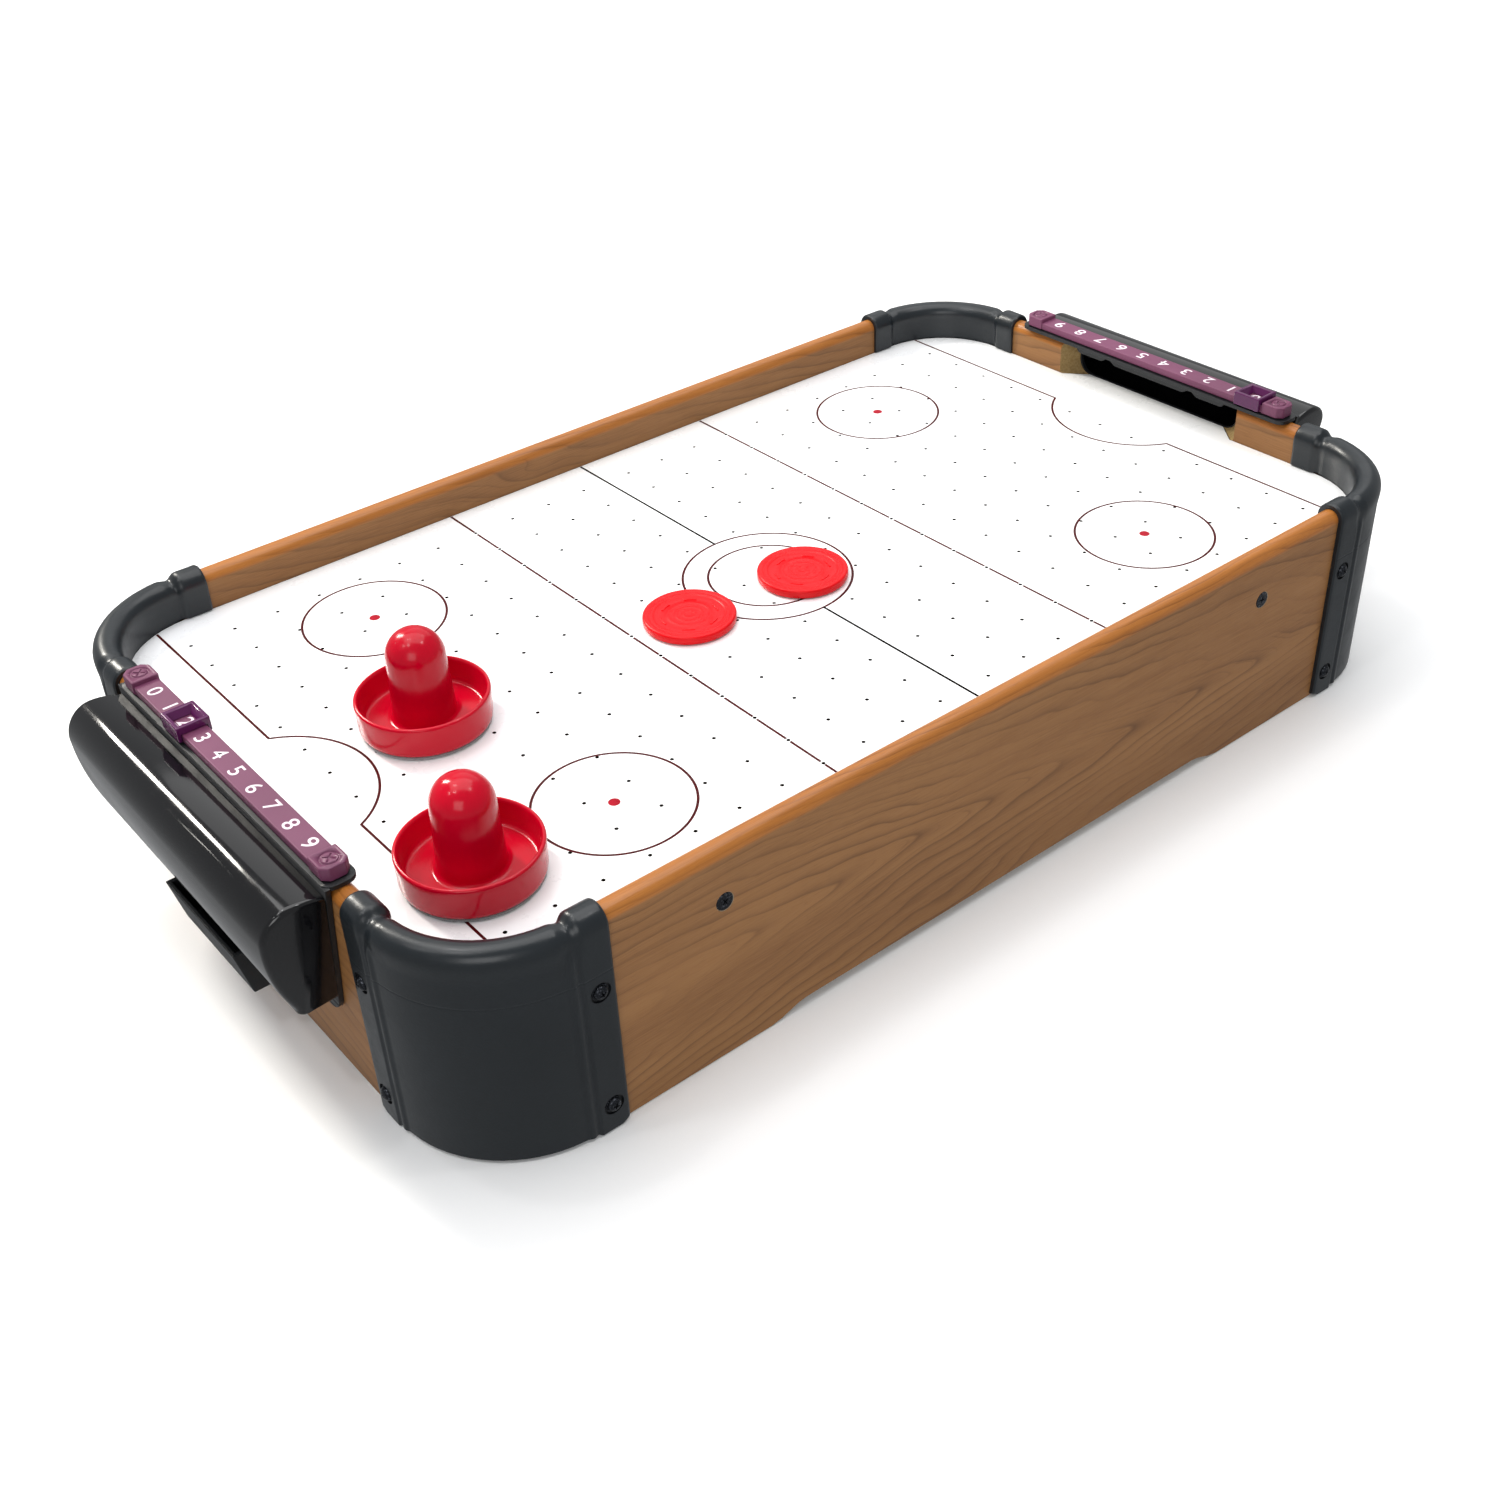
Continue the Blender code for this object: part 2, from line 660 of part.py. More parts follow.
def score_scale():
    """The purple bar of digits, with a raised block at each end to stop the slider."""
    base = FLANGE_Z + GAP
    reach = GOAL_HALF - 1.5 * MM
    item = box("score_scale_far", (SCALE_X - SCALE_W / 2, SCALE_X + SCALE_W / 2), (-reach, reach),
               (base, base + SCALE_H))
    blocks = []
    for side in (-1, 1):
        ends = sorted((side * (reach - BLOCK_L), side * (reach + 0.2 * MM)))
        block = box("block", (SCALE_X - SCALE_W / 2 - 0.5 * MM, SCALE_X + SCALE_W / 2 + 0.5 * MM), ends,
                    (base, base + BLOCK_H))
        blocks.append(block)
    item = union(item, blocks)
    rings = []
    for side in (-1, 1):
        at = (SCALE_X, side * (reach - BLOCK_L / 2))
        ring = cylinder("ring", 3.6 * MM, (base + BLOCK_H - 0.5 * MM, base + BLOCK_H + 1 * MM), "Z", at, 12)
        core = cylinder("core", 2.8 * MM, (base, base + BLOCK_H + 2 * MM), "Z", at, 12)
        rings.append(combine(ring, [core]))
    return finish(combine(item, rings), purple())


def score_slider(name, end, number):
    """The slider: a window frame over one digit, with a skirt down each side of the bar."""
    base = FLANGE_Z + GAP
    y = digit_y(number, end)
    x = end * SCALE_X
    half = SLIDER_L / 2
    inner = SCALE_W / 2 + GAP
    outer = inner + SLIDER_SKIRT
    item = box(name, (x - outer, x + outer), (y - half, y + half), (base + 0.4 * MM, base + SLIDER_H))
    channel = box("channel", (x - inner, x + inner), (y - SLIDER_L, y + SLIDER_L),
                  (base - 1 * MM, base + SCALE_H + GAP))
    window = box("window", (x - 4.2 * MM, x + 4.2 * MM), (y - 4 * MM, y + 4 * MM), (base, base + 9 * MM))
    item = finish(combine(item, [channel, window]), dark_purple())
    return set_origin(item, (x, y, base + SCALE_H))


def build_goals():
    for far in (goal_cover(), goal_bracket(), puck_tray(), score_scale()):
        mirrored(far, far.name.replace("_far", "_near"), x=-1)
    score_slider("score_slider_near", -1, NEAR_SCORE)
    score_slider("score_slider_far", 1, FAR_SCORE)


# ---------------------------------------------------------------- pucks and mallets

def puck(name, x, y):
    """A puck with a raised rim on its top and a flat underside."""
    base = FIELD_TOP + GAP
    deck = PUCK_H - 0.8 * MM
    profile = [(0, deck), (15.2 * MM, deck), (15.8 * MM, PUCK_H), (18.9 * MM, PUCK_H),
               (PUCK_R, PUCK_H - 0.8 * MM), (PUCK_R, 0.8 * MM), (18.9 * MM, 0), (0, 0)]
    item = finish(turned(name, profile, 26), puck_red(), 25)
    item.data.transform(Matrix.Translation((x, y, base)))
    return set_origin(item, (x, y, base))


def mallet(name, x, y):
    """A mallet: a cup with a drafted rim and a hollow domed knob moulded up from its middle."""
    base = FIELD_TOP + 2 * GAP + FELT_T
    knob_top = MALLET_H
    dome = 11.4 * MM
    outer_dome = [(r, z) for r, z in arc((0, knob_top - dome), dome, 90, 0, 5)]
    inner_dome = [(r, z) for r, z in arc((0, knob_top - dome), dome - 2 * MM, 0, 90, 3)]
    profile = outer_dome
    profile += [(12.4 * MM, 3 * MM), (23.2 * MM, 3 * MM), (24.3 * MM, MALLET_RIM - 0.6 * MM)]
    profile += [(25.2 * MM, MALLET_RIM), (MALLET_R, MALLET_RIM - 0.8 * MM), (25.9 * MM, 1 * MM), (25.2 * MM, 0)]
    profile += [(10.6 * MM, 0)] + inner_dome
    profile[0] = (0, knob_top)
    profile[-1] = (0, knob_top - 2 * MM)
    item = finish(turned(name, profile, 22), mallet_red(), 35)
    item.data.transform(Matrix.Translation((x, y, base)))
    return set_origin(item, (x, y, base))


def mallet_felt(name, x, y):
    base = FIELD_TOP + GAP
    item = cylinder(name, 25.3 * MM, (base, base + FELT_T), "Z", (x, y), 28)
    return set_origin(finish(bake(item), grey_felt()), (x, y, base))


def build_pieces():
    for name, (x, y) in PUCKS.items():
        puck(name, x, y)
    for name, (x, y) in MALLETS.items():
        mallet(name, x, y)
        mallet_felt(name.replace("mallet", "mallet_felt"), x, y)


# ---------------------------------------------------------------- fan

def fan_housing():
    """The fan's housing: a flanged ring under the floor, with a spoked grille that holds the motor."""
    top = FLOOR_TOP - FLOOR_T - GAP
    ring = cylinder("fan_housing", FAN_R_OUT, (FAN_BOTTOM, top), sides=24)
    flange = cylinder("flange", FAN_FLANGE_R, (top - 2.4 * MM, top), sides=24)
    bore = cylinder("bore", FAN_R_IN, (FAN_BOTTOM + GRILLE_T, top + BOARD), sides=24)
    item = combine(union(ring, [flange]), [bore])
    wedges = []
    rings = ((13 * MM, 20.5 * MM), (22 * MM, 29 * MM), (30.5 * MM, 36.5 * MM))
    sectors = 6
    for inner, outer in rings:
        for k in range(sectors):
            start = 360 * k / sectors
            bar = math.degrees(1.1 * MM / inner)
            window = arc((0, 0), outer, start + bar, start + 60 - bar, 3)
            window += arc((0, 0), inner, start + 60 - bar, start + bar, 2)
            place = Matrix.Translation((0, 0, FAN_BOTTOM + GRILLE_T / 2))
            wedges.append(outline("window", [window], 3 * GRILLE_T, place))
    lead_hole = cylinder("lead_hole", 1.5 * MM, (-FAN_R_OUT - BOARD, -FAN_R_IN + BOARD), "X", (0, 24 * MM), 8)
    return finish(combine(item, wedges + [lead_hole]), black_satin(), 30)


def motor():
    """The round motor can, seated on the grille's hub, with a hole for its shaft."""
    low = FAN_BOTTOM + GRILLE_T + GAP
    item = turned("motor", [(0, MOTOR_TOP), (3.2 * MM, MOTOR_TOP), (3.2 * MM, MOTOR_TOP - 1.2 * MM),
                            (9 * MM, MOTOR_TOP - 1.2 * MM), (MOTOR_R, MOTOR_TOP - 2.2 * MM),
                            (MOTOR_R, low), (0, low)], 20)
    bore = cylinder("bore", SHAFT_R + 0.3 * MM, (MOTOR_TOP - 12 * MM, MOTOR_TOP + BOARD), sides=10)
    return finish(combine(item, [bore]), steel(), 35)


def motor_shaft():
    item = cylinder("motor_shaft", SHAFT_R, (MOTOR_TOP - 11 * MM, IMPELLER_Z[1] - 1.5 * MM), sides=10)
    return finish(bake(item), steel(), 35)


def impeller():
    """The fan wheel: a hub with a blind bore for the shaft, and pitched blades around it."""
    low, high = IMPELLER_Z
    hub = cylinder("impeller", 8 * MM, (low, high), sides=20)
    blades = []
    for k in range(BLADES):
        blade = box("blade", (6.5 * MM, BLADE_R), (-0.8 * MM, 0.8 * MM), (-4.8 * MM, 4.8 * MM))
        tilt = Matrix.Rotation(math.radians(40), 4, "X")
        turn = Matrix.Rotation(2 * math.pi * k / BLADES, 4, "Z")
        blade.data.transform(Matrix.Translation((0, 0, (low + high) / 2)) @ turn @ tilt)
        blades.append(blade)
    bore = cylinder("bore", SHAFT_R + 0.3 * MM, (low - 1 * MM, high - 1.2 * MM), sides=10)
    item = finish(combine(union(hub, blades), [bore]), black_satin(), 35)
    return set_origin(item, (0, 0, low))


def fan_lead():
    """The motor's twin lead, from the battery box to the motor can, through the housing's side."""
    start = BOX_X[1] + GAP
    stop = -MOTOR_R - GAP
    count = 5
    curve = bpy.data.curves.new("fan_lead", "CURVE")
    curve.dimensions = "3D"
    curve.bevel_depth = 1 * MM
    curve.bevel_resolution = 2
    curve.use_fill_caps = True
    spline = curve.splines.new("POLY")
    spline.points.add(count - 1)
    for i, point in enumerate(spline.points):
        point.co = (start + (stop - start) * i / (count - 1), 0.0, 24 * MM, 1.0)
    item = bpy.data.objects.new("fan_lead", curve)
    bpy.context.scene.collection.objects.link(item)
    return finish(bake(as_mesh(item)), black_satin(), 40)


def build_fan():
    fan_housing()
    motor()
    motor_shaft()
    impeller()
    fan_lead()


# ---------------------------------------------------------------- battery box

def battery_box():
    """The box under the floor: a bay for four cells, a slot for the door, a well for the switch."""
    item = box("battery_box", BOX_X, (-BOX_Y, BOX_Y), BOX_Z)
    bay = box("bay", BAY_X, (-BAY_Y, BAY_Y), (BOX_Z[0] - BOARD, BAY_TOP))
    slot = box("slot", (BOX_X[0] - BOARD, BAY_X[1]), (-DOOR_Y, DOOR_Y), DOOR_Z)
    gate = box("gate", (BOX_X[0] - BOARD, BAY_X[0] + 1 * MM), (-BAY_Y, BAY_Y), (BOX_Z[0] - BOARD, DOOR_Z[1]))
    well = box("well", (SWITCH_X - 3.4 * MM, SWITCH_X + 3.4 * MM), (-6 * MM, 6 * MM),
               (BOX_Z[0] - BOARD, BOX_Z[0] + 4 * MM))
    return finish(combine(item, [bay, slot, gate, well]), black_satin())


def battery_door():
    """The sliding door, with a ridge across it to push against."""
    z = (DOOR_Z[0] + GAP, DOOR_Z[1] - GAP)
    x = (BOX_X[0] + 0.5 * MM, BAY_X[1] - GAP)
    item = box("battery_door", x, (-DOOR_Y + GAP, DOOR_Y - GAP), z)
    ridge = box("ridge", (x[0] + 6 * MM, x[0] + 9 * MM), (-9 * MM, 9 * MM), (z[0] - 1.2 * MM, z[0] + 0.5 * MM))
    item = finish(union(item, [ridge]), black_satin())
    return set_origin(item, (x[0], 0, z[0]))


def cell(name, row, place):
    """One AA cell lying along X in its row."""
    start = BAY_X[0] + 0.7 * MM + place * (CELL_L + 1.3 * MM)
    profile = [(0, CELL_L + 1 * MM), (2.6 * MM, CELL_L + 1 * MM), (2.6 * MM, CELL_L), (6.6 * MM, CELL_L),
               (CELL_R, CELL_L - 0.6 * MM), (CELL_R, 0), (0, 0)]
    item = finish(turned(name, profile, 16), cell_wrap(), 35)
    middle = (DOOR_Z[1] + BAY_TOP) / 2
    turn = Matrix.Rotation(math.pi / 2, 4, "Y")
    item.data.transform(Matrix.Translation((start, row * 7.6 * MM, middle)) @ turn)
    return item


def power_switch():
    """The slide switch's knob in its well."""
    z = (BOX_Z[0] - 1.5 * MM, BOX_Z[0] + 3.6 * MM)
    y = -SWITCH_REACH
    item = box("power_switch", (SWITCH_X - 3 * MM, SWITCH_X + 3 * MM), (y - 3 * MM, y + 3 * MM), z)
    item = finish(item, black_satin())
    bake(item)
    return set_origin(item, (SWITCH_X, y, z[0]))


def build_battery_box():
    battery_box()
    battery_door()
    power_switch()
    for row, side in ((-1, "right"), (1, "left")):
        for place, label in enumerate(("near", "far")):
            cell(f"battery_{side}_{label}", row, place)


# ---------------------------------------------------------------- screws

def corner_screw(name, axis, x, y, z):
    """A washer-head screw through a corner's strip into the end of a board."""
    face = OUT_Y if axis == "Y" else OUT_X
    face += SLEEVE_OUT - BOARD / 2 + GAP
    profile = [(0, 2.3 * MM), (2.2 * MM, 1.6 * MM), (3.2 * MM, 0.6 * MM), (3.2 * MM, 0),
               (1.4 * MM, 0), (1.4 * MM, -8 * MM), (0, -8 * MM)]
    item = finish(turned(name, profile, 9), black_steel(), 35)
    if axis == "Y":
        turn = Matrix.Rotation(-math.pi / 2 * y, 4, "X")
        place = Matrix.Translation((x, y * face, z)) @ turn
    else:
        turn = Matrix.Rotation(math.pi / 2 * x, 4, "Y")
        place = Matrix.Translation((x * face, y, z)) @ turn
    item.data.transform(place)
    return item


def side_screw(name, x, side):
    """A flat-head screw through a side wall into the end of a batten."""
    profile = [(0, 0), (3.5 * MM, 0), (1.5 * MM, -2 * MM), (1.5 * MM, -20 * MM), (0, -20 * MM)]
    item = finish(turned(name, profile, 10), black_steel(), 35)
    turn = Matrix.Rotation(-math.pi / 2 * side, 4, "X")
    item.data.transform(Matrix.Translation((x, side * (OUT_Y - 0.1 * MM), SIDE_SCREW_Z)) @ turn)
    return item


def build_screws():
    for name, axis, x, y, z in corner_screw_places():
        corner_screw(name, axis, x, y, z)
    for sx, end in ((-1, "near"), (1, "far")):
        for sy, side in ((-1, "right"), (1, "left")):
            side_screw(f"side_screw_{end}_{side}", sx * BATTEN_X, sy)


def main():
    clear_scene()
    build_walls()
    build_chamber()
    build_goals()
    build_pieces()
    build_fan()
    build_battery_box()
    build_screws()


main()
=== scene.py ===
import json
import math
import random

import bmesh
import bpy
from mathutils import Matrix, Vector


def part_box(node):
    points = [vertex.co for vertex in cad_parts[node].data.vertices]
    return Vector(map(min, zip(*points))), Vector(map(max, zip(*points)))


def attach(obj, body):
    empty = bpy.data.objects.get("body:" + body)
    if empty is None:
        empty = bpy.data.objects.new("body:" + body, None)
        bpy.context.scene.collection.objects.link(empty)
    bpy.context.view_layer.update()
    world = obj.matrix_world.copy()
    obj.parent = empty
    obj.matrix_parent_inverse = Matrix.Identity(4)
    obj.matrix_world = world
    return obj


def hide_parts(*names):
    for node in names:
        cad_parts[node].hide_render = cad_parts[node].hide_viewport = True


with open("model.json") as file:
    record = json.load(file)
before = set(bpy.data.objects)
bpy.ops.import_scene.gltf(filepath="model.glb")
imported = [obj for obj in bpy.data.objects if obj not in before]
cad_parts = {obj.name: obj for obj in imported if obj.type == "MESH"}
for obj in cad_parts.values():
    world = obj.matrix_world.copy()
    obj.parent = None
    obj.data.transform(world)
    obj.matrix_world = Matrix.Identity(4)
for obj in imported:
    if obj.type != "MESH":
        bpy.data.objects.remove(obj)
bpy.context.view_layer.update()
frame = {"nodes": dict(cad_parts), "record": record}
NODES = frame["nodes"]
RECORD = frame["record"]
BODY_OF = {node: body for body, group in RECORD["behaviour"]["bodies"].items() for node in group}
MM = 0.001

# Places taken from the CAD nodes
WALL_LOW, WALL_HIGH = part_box("side_wall_right")
END_LOW, END_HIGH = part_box("end_wall_near")
OUT_Y, IN_Y = -WALL_LOW.y, -WALL_HIGH.y
OUT_X, IN_X = -END_LOW.x, -END_HIGH.x
WALL_TOP = WALL_HIGH.z
FIELD_LOW, FIELD_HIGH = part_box("playfield")
FIELD_TOP = FIELD_HIGH.z
BULLNOSE = (OUT_Y - IN_Y) / 2


# -------- materials

def srgb(red, green, blue):
    """A colour given in screen values from 0 to 255, as linear light."""
    return tuple((c / 12.92 if c <= 0.04045 else ((c + 0.055) / 1.055) ** 2.4)
                 for c in (red / 255, green / 255, blue / 255)) + (1.0,)


class Value:
    """A number, colour or vector that a material's nodes work out. Its sums and products are nodes too."""

    def __init__(self, look, socket):
        self.look = look
        self.socket = socket

    def __add__(self, other):
        return self.look.maths("ADD", self, other)

    def __sub__(self, other):
        return self.look.maths("SUBTRACT", self, other)

    def __mul__(self, other):
        return self.look.maths("MULTIPLY", self, other)


class Look:
    """A procedural material under construction, with a short call for each kind of node."""

    def __init__(self, name, **fixed):
        self.made = bpy.data.materials.new(name)
        self.made.use_nodes = True
        self.tree = self.made.node_tree
        for socket, value in fixed.items():
            self.set(socket.replace("_", " "), value)
        self.place = self.value("ShaderNodeTexCoord", {}, "Object")

    def set(self, socket, value):
        """Give the surface one of its properties."""
        self.feed(self.tree.nodes["Principled BSDF"].inputs[socket], value)

    def feed(self, socket, value):
        if isinstance(value, Value):
            self.tree.links.new(value.socket, socket)
        else:
            socket.default_value = value

    def add(self, kind, inputs, **settings):
        node = self.tree.nodes.new(kind)
        for key, value in settings.items():
            setattr(node, key, value)
        for key, value in inputs.items():
            self.feed(node.inputs[key], value)
        return node

    def value(self, kind, inputs, output=0, **settings):
        """One output of a new node."""
        return Value(self, self.add(kind, inputs, **settings).outputs[output])

    def maths(self, operation, a, b=0.0):
        return self.value("ShaderNodeMath", {0: a, 1: b}, operation=operation)

    def axes(self):
        return [Value(self, socket) for socket in self.add("ShaderNodeSeparateXYZ", {0: self.place}).outputs]

    def joined(self, x, y, z):
        return self.value("ShaderNodeCombineXYZ", {0: x, 1: y, 2: z})

    def noise(self, vector=None, scale=1.0, detail=2.0, roughness=0.5, distortion=0.0):
        inputs = {"Vector": vector or self.place, "Scale": scale, "Detail": detail,
                  "Roughness": roughness, "Distortion": distortion}
        return self.value("ShaderNodeTexNoise", inputs, "Fac")

    def streaks(self, u, v, u_scale, v_scale, seed, **options):
        """Noise on a stretched grid: u along the board, v across it."""
        return self.noise(self.joined(u * u_scale, v * v_scale, seed), **options)

    def ramp(self, factor, stops):
        """A ramp of grey values at places from 0 to 1."""
        node = self.add("ShaderNodeValToRGB", {0: factor})
        band = node.color_ramp
        while len(band.elements) < len(stops):
            band.elements.new(1.0)
        for element, (place, grey) in zip(band.elements, stops):
            element.position = place
            element.color = (grey, grey, grey, 1.0)
        return Value(self, node.outputs["Color"])

    def span(self, value, low, high, start=0.0, end=1.0):
        """A value's way from low to high, smoothly, as start to end."""
        inputs = {"Value": value, "From Min": low, "From Max": high, "To Min": start, "To Max": end}
        return self.value("ShaderNodeMapRange", inputs, interpolation_type="SMOOTHSTEP")

    def mix(self, factor, a, b, blend="MIX"):
        return self.value("ShaderNodeMix", {0: factor, 6: a, 7: b}, 2, data_type="RGBA", blend_type=blend)

    def between(self, pattern, a, b):
        """Two colours mixed by the middle of a noise pattern's range."""
        return self.mix(self.span(pattern, 0.3, 0.7), a, b)

    def bump(self, height, distance, strength):
        inputs = {"Strength": strength, "Distance": distance, "Height": height}
        self.set("Normal", self.value("ShaderNodeBump", inputs))


def wood_foil(name, along, seed, middle):
    """Wood-effect foil: cathedral grain along the board, and a glossier rounded top painted lighter and more
    orange, as painted light from above.
    """
    look = Look(name, Specular_IOR_Level=0.35)
    x, y, z = look.axes()
    u, across = (x, y) if along == "X" else (y, x)
    v = z + across * 1.3

    # The rings: they sway about the middle of the figure, and their spacing drifts
    sway = look.streaks(u, v, 5.0, 16.0, seed)
    ripple = look.streaks(u, v, 24.0, 70.0, seed + 3.0)
    offset = v - middle + ((sway - 0.5) * 0.040 + (ripple - 0.5) * 0.007)
    distance = look.maths("SQRT", offset * offset + 0.000016)
    spacing = look.streaks(u, v, 3.0, 12.0, seed + 9.0, detail=1.0)
    phase = (distance + u * 0.14) * 170.0 + spacing * 3.4
    line = look.ramp(look.maths("FRACT", phase),
                     [(0.0, 1.0), (0.07, 0.62), (0.22, 0.26), (0.55, 0.0), (0.93, 0.03), (1.0, 1.0)])
    fade = look.span(look.streaks(u, v, 9.0, 34.0, seed + 5.0), 0.34, 0.62, 0.22, 1.0)
    thin = look.ramp(look.maths("FRACT", phase * 2.37),
                     [(0.0, 0.55), (0.10, 0.16), (0.3, 0.0), (0.94, 0.0), (1.0, 0.55)])
    thin_fade = look.span(look.streaks(u, v, 7.0, 50.0, seed + 15.0), 0.48, 0.70)
    grain = look.maths("MAXIMUM", line * fade, thin * thin_fade)

    # Broad bands and fibres under the rings, pores over them
    fibres = look.streaks(u, v, 42.0, 2300.0, seed, detail=3.0, roughness=0.65)
    broad = look.streaks(u, v, 3.5, 42.0, seed + 20.0, detail=3.0)
    pores = look.span(look.streaks(u, v, 150.0, 3600.0, seed + 30.0, detail=1.0), 0.60, 0.76)
    base = look.between(broad, srgb(143, 99, 55), srgb(125, 83, 43))
    base = look.mix(look.span(fibres, 0.25, 0.75, 0.0, 0.55), base, srgb(156, 112, 68))
    colour = look.mix(grain * 0.55, base, srgb(72, 43, 20))
    colour = look.mix(pores * 0.30, colour, srgb(80, 50, 25))

    # The rounded top: glossier, and painted lighter and more orange as painted light falling from above
    top = look.span(z, WALL_TOP - BULLNOSE - 0.6 * MM, WALL_TOP - BULLNOSE + 1.0 * MM)
    painted_light_top = look.mix(0.92, colour, (1.45, 1.12, 0.62, 1.0), "MULTIPLY")
    look.set("Base Color", look.mix(top, colour, painted_light_top))
    matt = look.mix(top, (0.46, 0.46, 0.46, 1.0), (0.27, 0.27, 0.27, 1.0))
    look.set("Roughness", matt + look.noise(scale=90.0, detail=4.0) * 0.10)
    look.bump(grain * -0.6 + fibres * 0.4, 0.12 * MM, 0.35)
    return look.made


def fibreboard(name, light, dark, scale=900.0):
    """Bare pressed board: pale specks and short fibres."""
    look = Look(name, Roughness=0.86, Specular_IOR_Level=0.25)
    specks = look.noise(scale=scale, detail=5.0, roughness=0.7)
    blots = look.span(look.noise(scale=60.0, detail=3.0), 0.35, 0.65, 0.0, 0.35)
    look.set("Base Color", look.mix(blots, look.between(specks, dark, light), dark))
    look.bump(specks, 0.3 * MM, 0.5)
    return look.made


def moulded(name, colour, roughness, texture=0.0, scale=1400.0, scuffs=0.10, variation=0.12, gloss=0.4):
    """Moulded plastic: a fine texture, slight colour drift, and scuffs in the gloss."""
    look = Look(name, Specular_IOR_Level=gloss)
    darker, lighter = [tuple(min(1.0, c * share) for c in colour[:3]) + (1.0,)
                       for share in (1 - variation, 1 + variation)]
    look.set("Base Color", look.between(look.noise(scale=14.0, detail=3.0), darker, lighter))
    rub = look.noise(scale=110.0, detail=5.0, roughness=0.7, distortion=0.6)
    look.set("Roughness", look.span(rub, 0.35, 0.75, roughness, roughness + scuffs))
    if texture:
        look.bump(look.noise(scale=scale), 0.08 * MM, texture)
    return look.made


def laminate():
    """The field's white laminate, with faint haze in its gloss."""
    look = Look("white_laminate", Coat_Weight=0.3, Coat_Roughness=0.12)
    cloud = look.noise(scale=9.0, detail=4.0)
    look.set("Base Color", look.between(cloud, srgb(238, 239, 241), srgb(244, 244, 243)))
    haze = look.noise(scale=38.0, detail=5.0, roughness=0.7)
    look.set("Roughness", look.span(haze, 0.3, 0.75, 0.24, 0.34))
    look.bump(look.noise(scale=420.0), 0.03 * MM, 0.4)
    return look.made


def ink(name, dark, light, scale):
    look = Look(name, Specular_IOR_Level=0.1)
    patches = look.noise(scale=scale, detail=3.0)
    look.set("Base Color", look.between(patches, dark, light))
    look.set("Roughness", look.span(patches, 0.2, 0.8, 0.26, 0.4))
    return look.made


def blackened_steel():
    look = Look("blackened_steel", Metallic=0.85)
    wear = look.noise(scale=1300.0, detail=4.0, roughness=0.7)
    look.set("Base Color", look.mix(look.span(wear, 0.52, 0.74), srgb(38, 40, 45), srgb(120, 124, 132)))
    look.set("Roughness", look.span(wear, 0.3, 0.7, 0.24, 0.40))
    look.bump(look.noise(scale=3000.0), 0.04 * MM, 0.4)
    return look.made


def plain_steel():
    look = Look("plain_steel", Metallic=1.0)
    x, y, z = look.axes()
    brushed = look.noise(look.joined(x * 90.0, y * 90.0, z * 2600.0), detail=3.0)
    look.set("Base Color", look.mix(brushed, srgb(150, 152, 156), srgb(190, 192, 196)))
    look.set("Roughness", look.span(brushed, 0.3, 0.7, 0.26, 0.42))
    return look.made


def felt_cloth():
    """Pressed felt: tangled short fibres and a soft sheen."""
    look = Look("felt_cloth", Roughness=0.95, Sheen_Weight=0.4, Sheen_Roughness=0.6)
    tangle = look.noise(scale=2600.0, detail=5.0, roughness=0.8, distortion=1.2)
    look.set("Base Color", look.between(tangle, srgb(122, 122, 124), srgb(168, 168, 170)))
    look.bump(tangle, 0.4 * MM, 0.8)
    return look.made


def cell_sleeve():
    """A cell's plain blue shrink sleeve."""
    look = Look("cell_sleeve", Coat_Weight=0.4)
    grain = look.noise(scale=800.0)
    look.set("Base Color", look.between(grain, srgb(34, 70, 120), srgb(44, 82, 134)))
    look.set("Roughness", look.span(grain, 0.3, 0.7, 0.28, 0.38))
    return look.made


WOOD_SIDE = wood_foil("wood_foil_side", "X", 2.0, -0.152)
WOOD_LEFT = wood_foil("wood_foil_left", "X", 31.0, 0.245)
WOOD_NEAR = wood_foil("wood_foil_near", "Y", 57.0, -0.290)
WOOD_FAR = wood_foil("wood_foil_far", "Y", 83.0, 0.370)
RAW_MDF = fibreboard("raw_mdf", srgb(158, 134, 90), srgb(128, 104, 64))
RAW_EDGE = fibreboard("raw_bottom_edge", srgb(176, 160, 138), srgb(134, 118, 98))
HARDBOARD = fibreboard("hardboard_brown", srgb(120, 84, 54), srgb(84, 56, 34), 600.0)
# Board painted near black: painted shade for the holes' walls and the field's underside
HOLE_SHADE_BOARD = fibreboard("board_painted_shade", srgb(46, 36, 28), srgb(26, 20, 16), 600.0)
PINE = fibreboard("batten_wood", srgb(206, 170, 118), srgb(176, 136, 86), 350.0)
LAMINATE = laminate()
INK = ink("red_ink", srgb(58, 2, 6), srgb(76, 6, 10), 700.0)
SPOT_INK = ink("bright_red_ink", srgb(148, 8, 30), srgb(168, 14, 38), 500.0)
BLACK_SATIN = moulded("black_satin_plastic", srgb(20, 22, 25), 0.42, 0.30)
BLACK_RAIL = moulded("black_corner_plastic", srgb(24, 29, 33), 0.28, 0.40, 1100.0)
BLACK_GLOSS = moulded("black_gloss_plastic", srgb(13, 13, 15), 0.08, scuffs=0.04, gloss=0.5)
BLACK_MATT = moulded("black_matt_plastic", srgb(18, 19, 21), 0.55, 0.5, 900.0)
PURPLE = moulded("purple_plastic", srgb(108, 54, 84), 0.42, 0.35, 1500.0)
DARK_PURPLE = moulded("dark_purple_plastic", srgb(82, 24, 74), 0.12, scuffs=0.05)
WHITE_INK = moulded("white_ink", srgb(226, 214, 222), 0.42, 0.2)
PUCK_RED = moulded("puck_red_plastic", srgb(216, 4, 16), 0.3, 0.12, 700.0, variation=0.06, gloss=0.2)
MALLET_RED = moulded("mallet_red_plastic", srgb(186, 0, 32), 0.15, 0.05, 500.0, variation=0.08, gloss=0.25)
